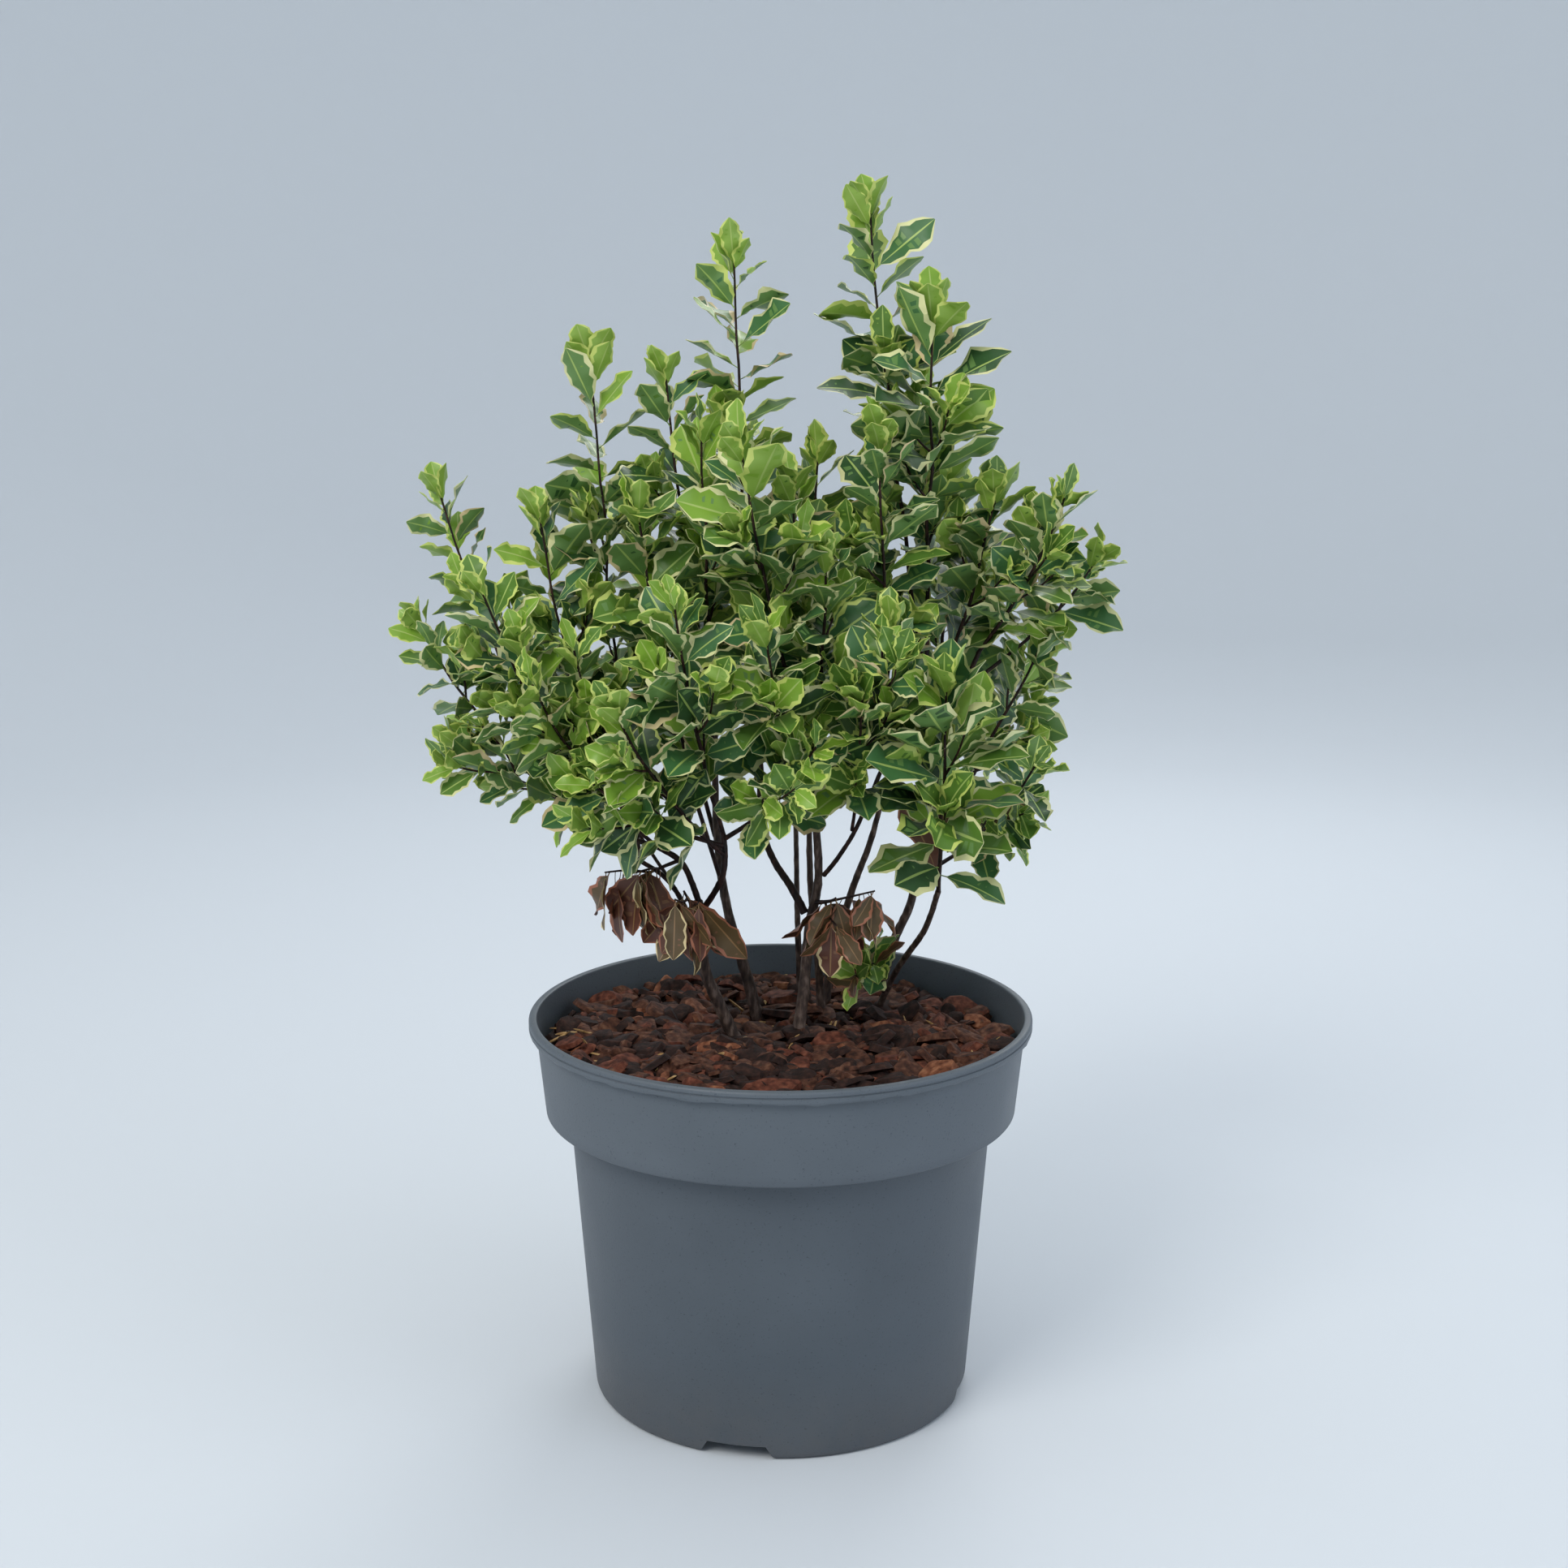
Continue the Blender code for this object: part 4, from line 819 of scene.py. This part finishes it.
def leaf_shape(root, direction, face, length, chance, tint):
    """One leaf: vertices, faces and the skin of each face."""
    side = direction.cross(face).normalized()
    blade, margin, rib, under = tint
    half = 0.5 * length * chance.uniform(*(OLD_LEAF_WIDTHS if blade in (BRONZE, MAROON) else LEAF_WIDTHS))
    stalk = 0.09 + 0.04 * chance.random()
    curl = chance.uniform(*LEAF_CURLS)
    fold = chance.uniform(*LEAF_FOLDS)
    twist = chance.uniform(-LEAF_TWIST, LEAF_TWIST)
    phase = chance.uniform(0.0, math.tau)
    wave = chance.uniform(*LEAF_WAVES) * half
    border = chance.uniform(*GREEN_SHARES)
    verts, faces, skins = [], [], []
    for row in range(LEAF_ROWS + 1):
        t = row / LEAF_ROWS
        along_leaf = stalk + (1.0 - stalk) * t
        swell = max(0.05, math.sin(math.pi * t ** 1.22)) ** 0.55
        if row in (0, LEAF_ROWS):
            swell = 0.05
        bend = -curl * length * along_leaf ** 2
        centre = root + direction * (along_leaf * length * (1.0 - 0.12 * curl)) + face * bend
        turned = Matrix.Rotation(twist * along_leaf, 3, direction)
        out, up = turned @ side, turned @ face
        teeth = border + (0.10 if row % 2 else -0.10)
        for share in (-1.0, -teeth, -RIB_SHARE, RIB_SHARE, teeth, 1.0):
            ripple = wave * math.sin(12.0 * t + phase + (1.4 if share > 0 else 0.0)) * swell
            lift = abs(share) ** 1.4 * (fold * half * swell + ripple)
            reach = half * swell * (1.0 + (0.07 if row % 2 else -0.05) * (abs(share) > 0.99))
            verts.append(centre + out * (share * reach) + up * lift)
            if abs(share) < 0.99:
                verts.append(verts[-1] - up * BLADE_THICKNESS)
    # Each row holds a left edge, four pairs of upper and lower points, and a right edge
    upper = (0, 1, 3, 5, 7, 9)
    lower = (0, 2, 4, 6, 8, 9)
    top_skins = (margin, blade, rib, blade, margin)
    low_skins = (margin, under, rib, under, margin)
    for row in range(LEAF_ROWS):
        low, high = row * 10, (row + 1) * 10
        for strip in range(5):
            faces.append((low + upper[strip], low + upper[strip + 1],
                          high + upper[strip + 1], high + upper[strip]))
            skins.append(top_skins[strip])
            faces.append((low + lower[strip + 1], low + lower[strip],
                          high + lower[strip], high + lower[strip + 1]))
            skins.append(low_skins[strip])
    end = LEAF_ROWS * 10
    faces.append(tuple(end + i for i in upper) + tuple(end + i for i in lower[-2:0:-1]))
    skins.append(margin)
    start = len(verts)
    verts.extend([root - side * STALK_RADIUS, root + side * STALK_RADIUS, root - face * STALK_RADIUS])
    faces.extend([(start, start + 1) + upper[::-1], (start + 1, start + 2) + lower[:2:-1],
                  (start + 2, start) + lower[:4]])
    skins.extend((rib, rib, rib))
    return verts, faces, skins


def leaf_places(path, bare, full, hang, chance):
    """Distance from the tip, share, turn, pitch, roll and length of a twig's leaves, tip first."""
    length = sum((b - a).length for a, b in zip(path, path[1:]))
    turn = 0.5 * LEAF_TURN
    distance = 0.0008
    count = 0
    while distance < length * (1.0 - bare):
        spread = min(distance / ANGLE_REACH, 1.0)
        angle = TIP_ANGLE + ANGLE_GAIN * spread + chance.uniform(-13.0, 13.0)
        size = full * (TIP_SIZE + SIZE_GAIN * min(distance / SIZE_REACH, 1.0)) * chance.uniform(0.74, 1.08)
        yield (distance, 1.0 - distance / length, turn + chance.uniform(-0.55, 0.55),
               math.radians(angle + hang * HANG_ANGLE), chance.uniform(-0.8, 0.8),
               full * chance.uniform(0.75, 1.10) if hang == HANGING else size)
        turn += LEAF_TURN
        count += 1
        if count < TIP_LEAVES:
            distance += TIP_SPACING
        else:
            closer = YOUNG_SPACING_SHARE if distance < YOUNG_REACH else 1.0
            distance += LEAF_SPACING * closer * chance.uniform(0.75, 1.25)


def leaf_tint(distance, hang, root, chance):
    """Skins of blade, margin, rib and underside, by the leaf's age and place, with painted light making
    leaves high and to the left limier.
    """
    if hang == HANGING or (root.z < 0.325 and chance.random() < 0.22):
        return (BRONZE if chance.random() < 0.5 else MAROON,
                PINK if chance.random() < 0.8 else TAN, BROWN_RIB, UNDER_BRONZE)
    # Painted light: leaves high up and to the left, towards the window light, get paler lime blades and
    # fewer blue-green ones
    painted_light_share = min(1.0, max(0.0, (root.z - 0.36) * 3.0 - root.x * 2.6))
    if distance < 0.014 or chance.random() < 0.40 * painted_light_share:
        blade = LIME if chance.random() < 0.35 + 0.5 * painted_light_share else OLIVE
        return blade, LIME_CREAM, RIB, UNDER_LIME
    shares = (0.46 - 0.2 * painted_light_share, 0.22, 0.26, 0.06 + 0.2 * painted_light_share)
    blade = chance.choices((BLUE, DEEP, OLIVE, LIME), shares)[0]
    margin = chance.choices((CREAM, LIME_CREAM, TAN), (0.66, 0.24, 0.10))[0]
    return blade, margin, RIB, UNDER


def twigs_of(stem, count, chance):
    """Side twigs of a shoot, and finer ones between them."""
    turn = chance.uniform(0.0, math.tau)
    for index in range(count + 2):
        finer = index >= count
        if finer:
            share = 0.36 + 0.26 * (index - count)
        else:
            share = 0.30 + 0.38 * (index + 0.5) / count
        place, ahead = along(stem, share)
        radial = Matrix.Rotation(turn, 3, ahead) @ ahead.orthogonal().normalized()
        direction = (ahead * 0.75 + radial * 0.66).normalized()
        length = TWIG_LENGTH * chance.uniform(0.85, 1.2) * (0.72 if finer else 1.0)
        middle = place + direction * length * 0.5
        tip = place + (direction * 0.85 + ahead * 0.25) * length
        yield [spline_point([place, middle, tip], i / (TWIG_POINTS - 1)) for i in range(TWIG_POINTS)]
        turn += LEAF_TURN


low_z, high_z = MULCH_LEVEL + 0.002, cad_box[1][2]
twig_radii = [0.0008 - 0.0003 * i / (TWIG_POINTS - 1) for i in range(TWIG_POINTS)]
for index, (name, (limb, share, tip, bare, full, twigs, hang)) in enumerate(SHOOTS.items()):
    chance = random.Random(4000 + index)
    path, radii = limbs[limb]
    foot_radius = min(0.0015, radii[-1])
    foot = side_foot(path, radii, share, Vector(tip), foot_radius)
    stem = shoot_path(foot, Vector(tip), STEM_POINTS)
    sway = [Vector((noise.noise(p * SWAY_SCALE), noise.noise(p * SWAY_SCALE + Vector((9, 0, 0))), 0.0))
            for p in stem]
    stem = [p + shift * SWAY * math.sin(math.pi * i / (STEM_POINTS - 1))
            for i, (p, shift) in enumerate(zip(stem, sway))]
    into = (stem[0] - stem[1]).normalized() * 0.0022
    shown = [stem[0] + into] + stem
    widths = [foot_radius * 0.95 + (SHOOT_TIP_RADIUS - foot_radius * 0.95) * i / STEM_POINTS
              for i in range(STEM_POINTS + 1)]
    wood = [woody_tube(shown, widths, SHOOT_SIDES, 0.12, index)]
    grown = [(stem, bare)]
    for twig in twigs_of(stem, twigs, chance):
        grown.append((twig, 0.12))
        wood.append(woody_tube(twig, twig_radii, TWIG_SKIN_SIDES, 0.1, index))
    leaves = []
    for twig, start in grown:
        for distance, at, turn, pitch, roll, length in leaf_places(twig, start, full, hang, chance):
            root, _ = along(twig, at)
            nearest = min(int(at * (len(twig) - 1) + 0.5), len(twig) - 1)
            ahead, side_way = frames(twig)[nearest]
            radial = side_way * math.cos(turn) + ahead.cross(side_way) * math.sin(turn)
            direction = (ahead * math.cos(pitch) + radial * math.sin(pitch)).normalized()
            if hang == HANGING:
                direction = (direction * 0.6 + Vector((0.0, 0.0, -0.9))).normalized()
            face = (ahead - direction * ahead.dot(direction)).normalized()
            face = Matrix.Rotation(roll, 3, direction) @ face
            tint = leaf_tint(distance, hang, root, chance)
            verts, faces, skins = leaf_shape(root, direction, face, length, chance, tint)
            if all(low_z < v.z < high_z for v in verts):
                leaves.append((verts, faces, skins))
    wood_piece = joined(name + "_twigs", [(v, f, [0] * len(f)) for v, f in wood], [young_wood], 60.0)
    leaf_piece = joined(name + "_leaves", leaves, leaf_skins, 42.0)
    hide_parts(name)
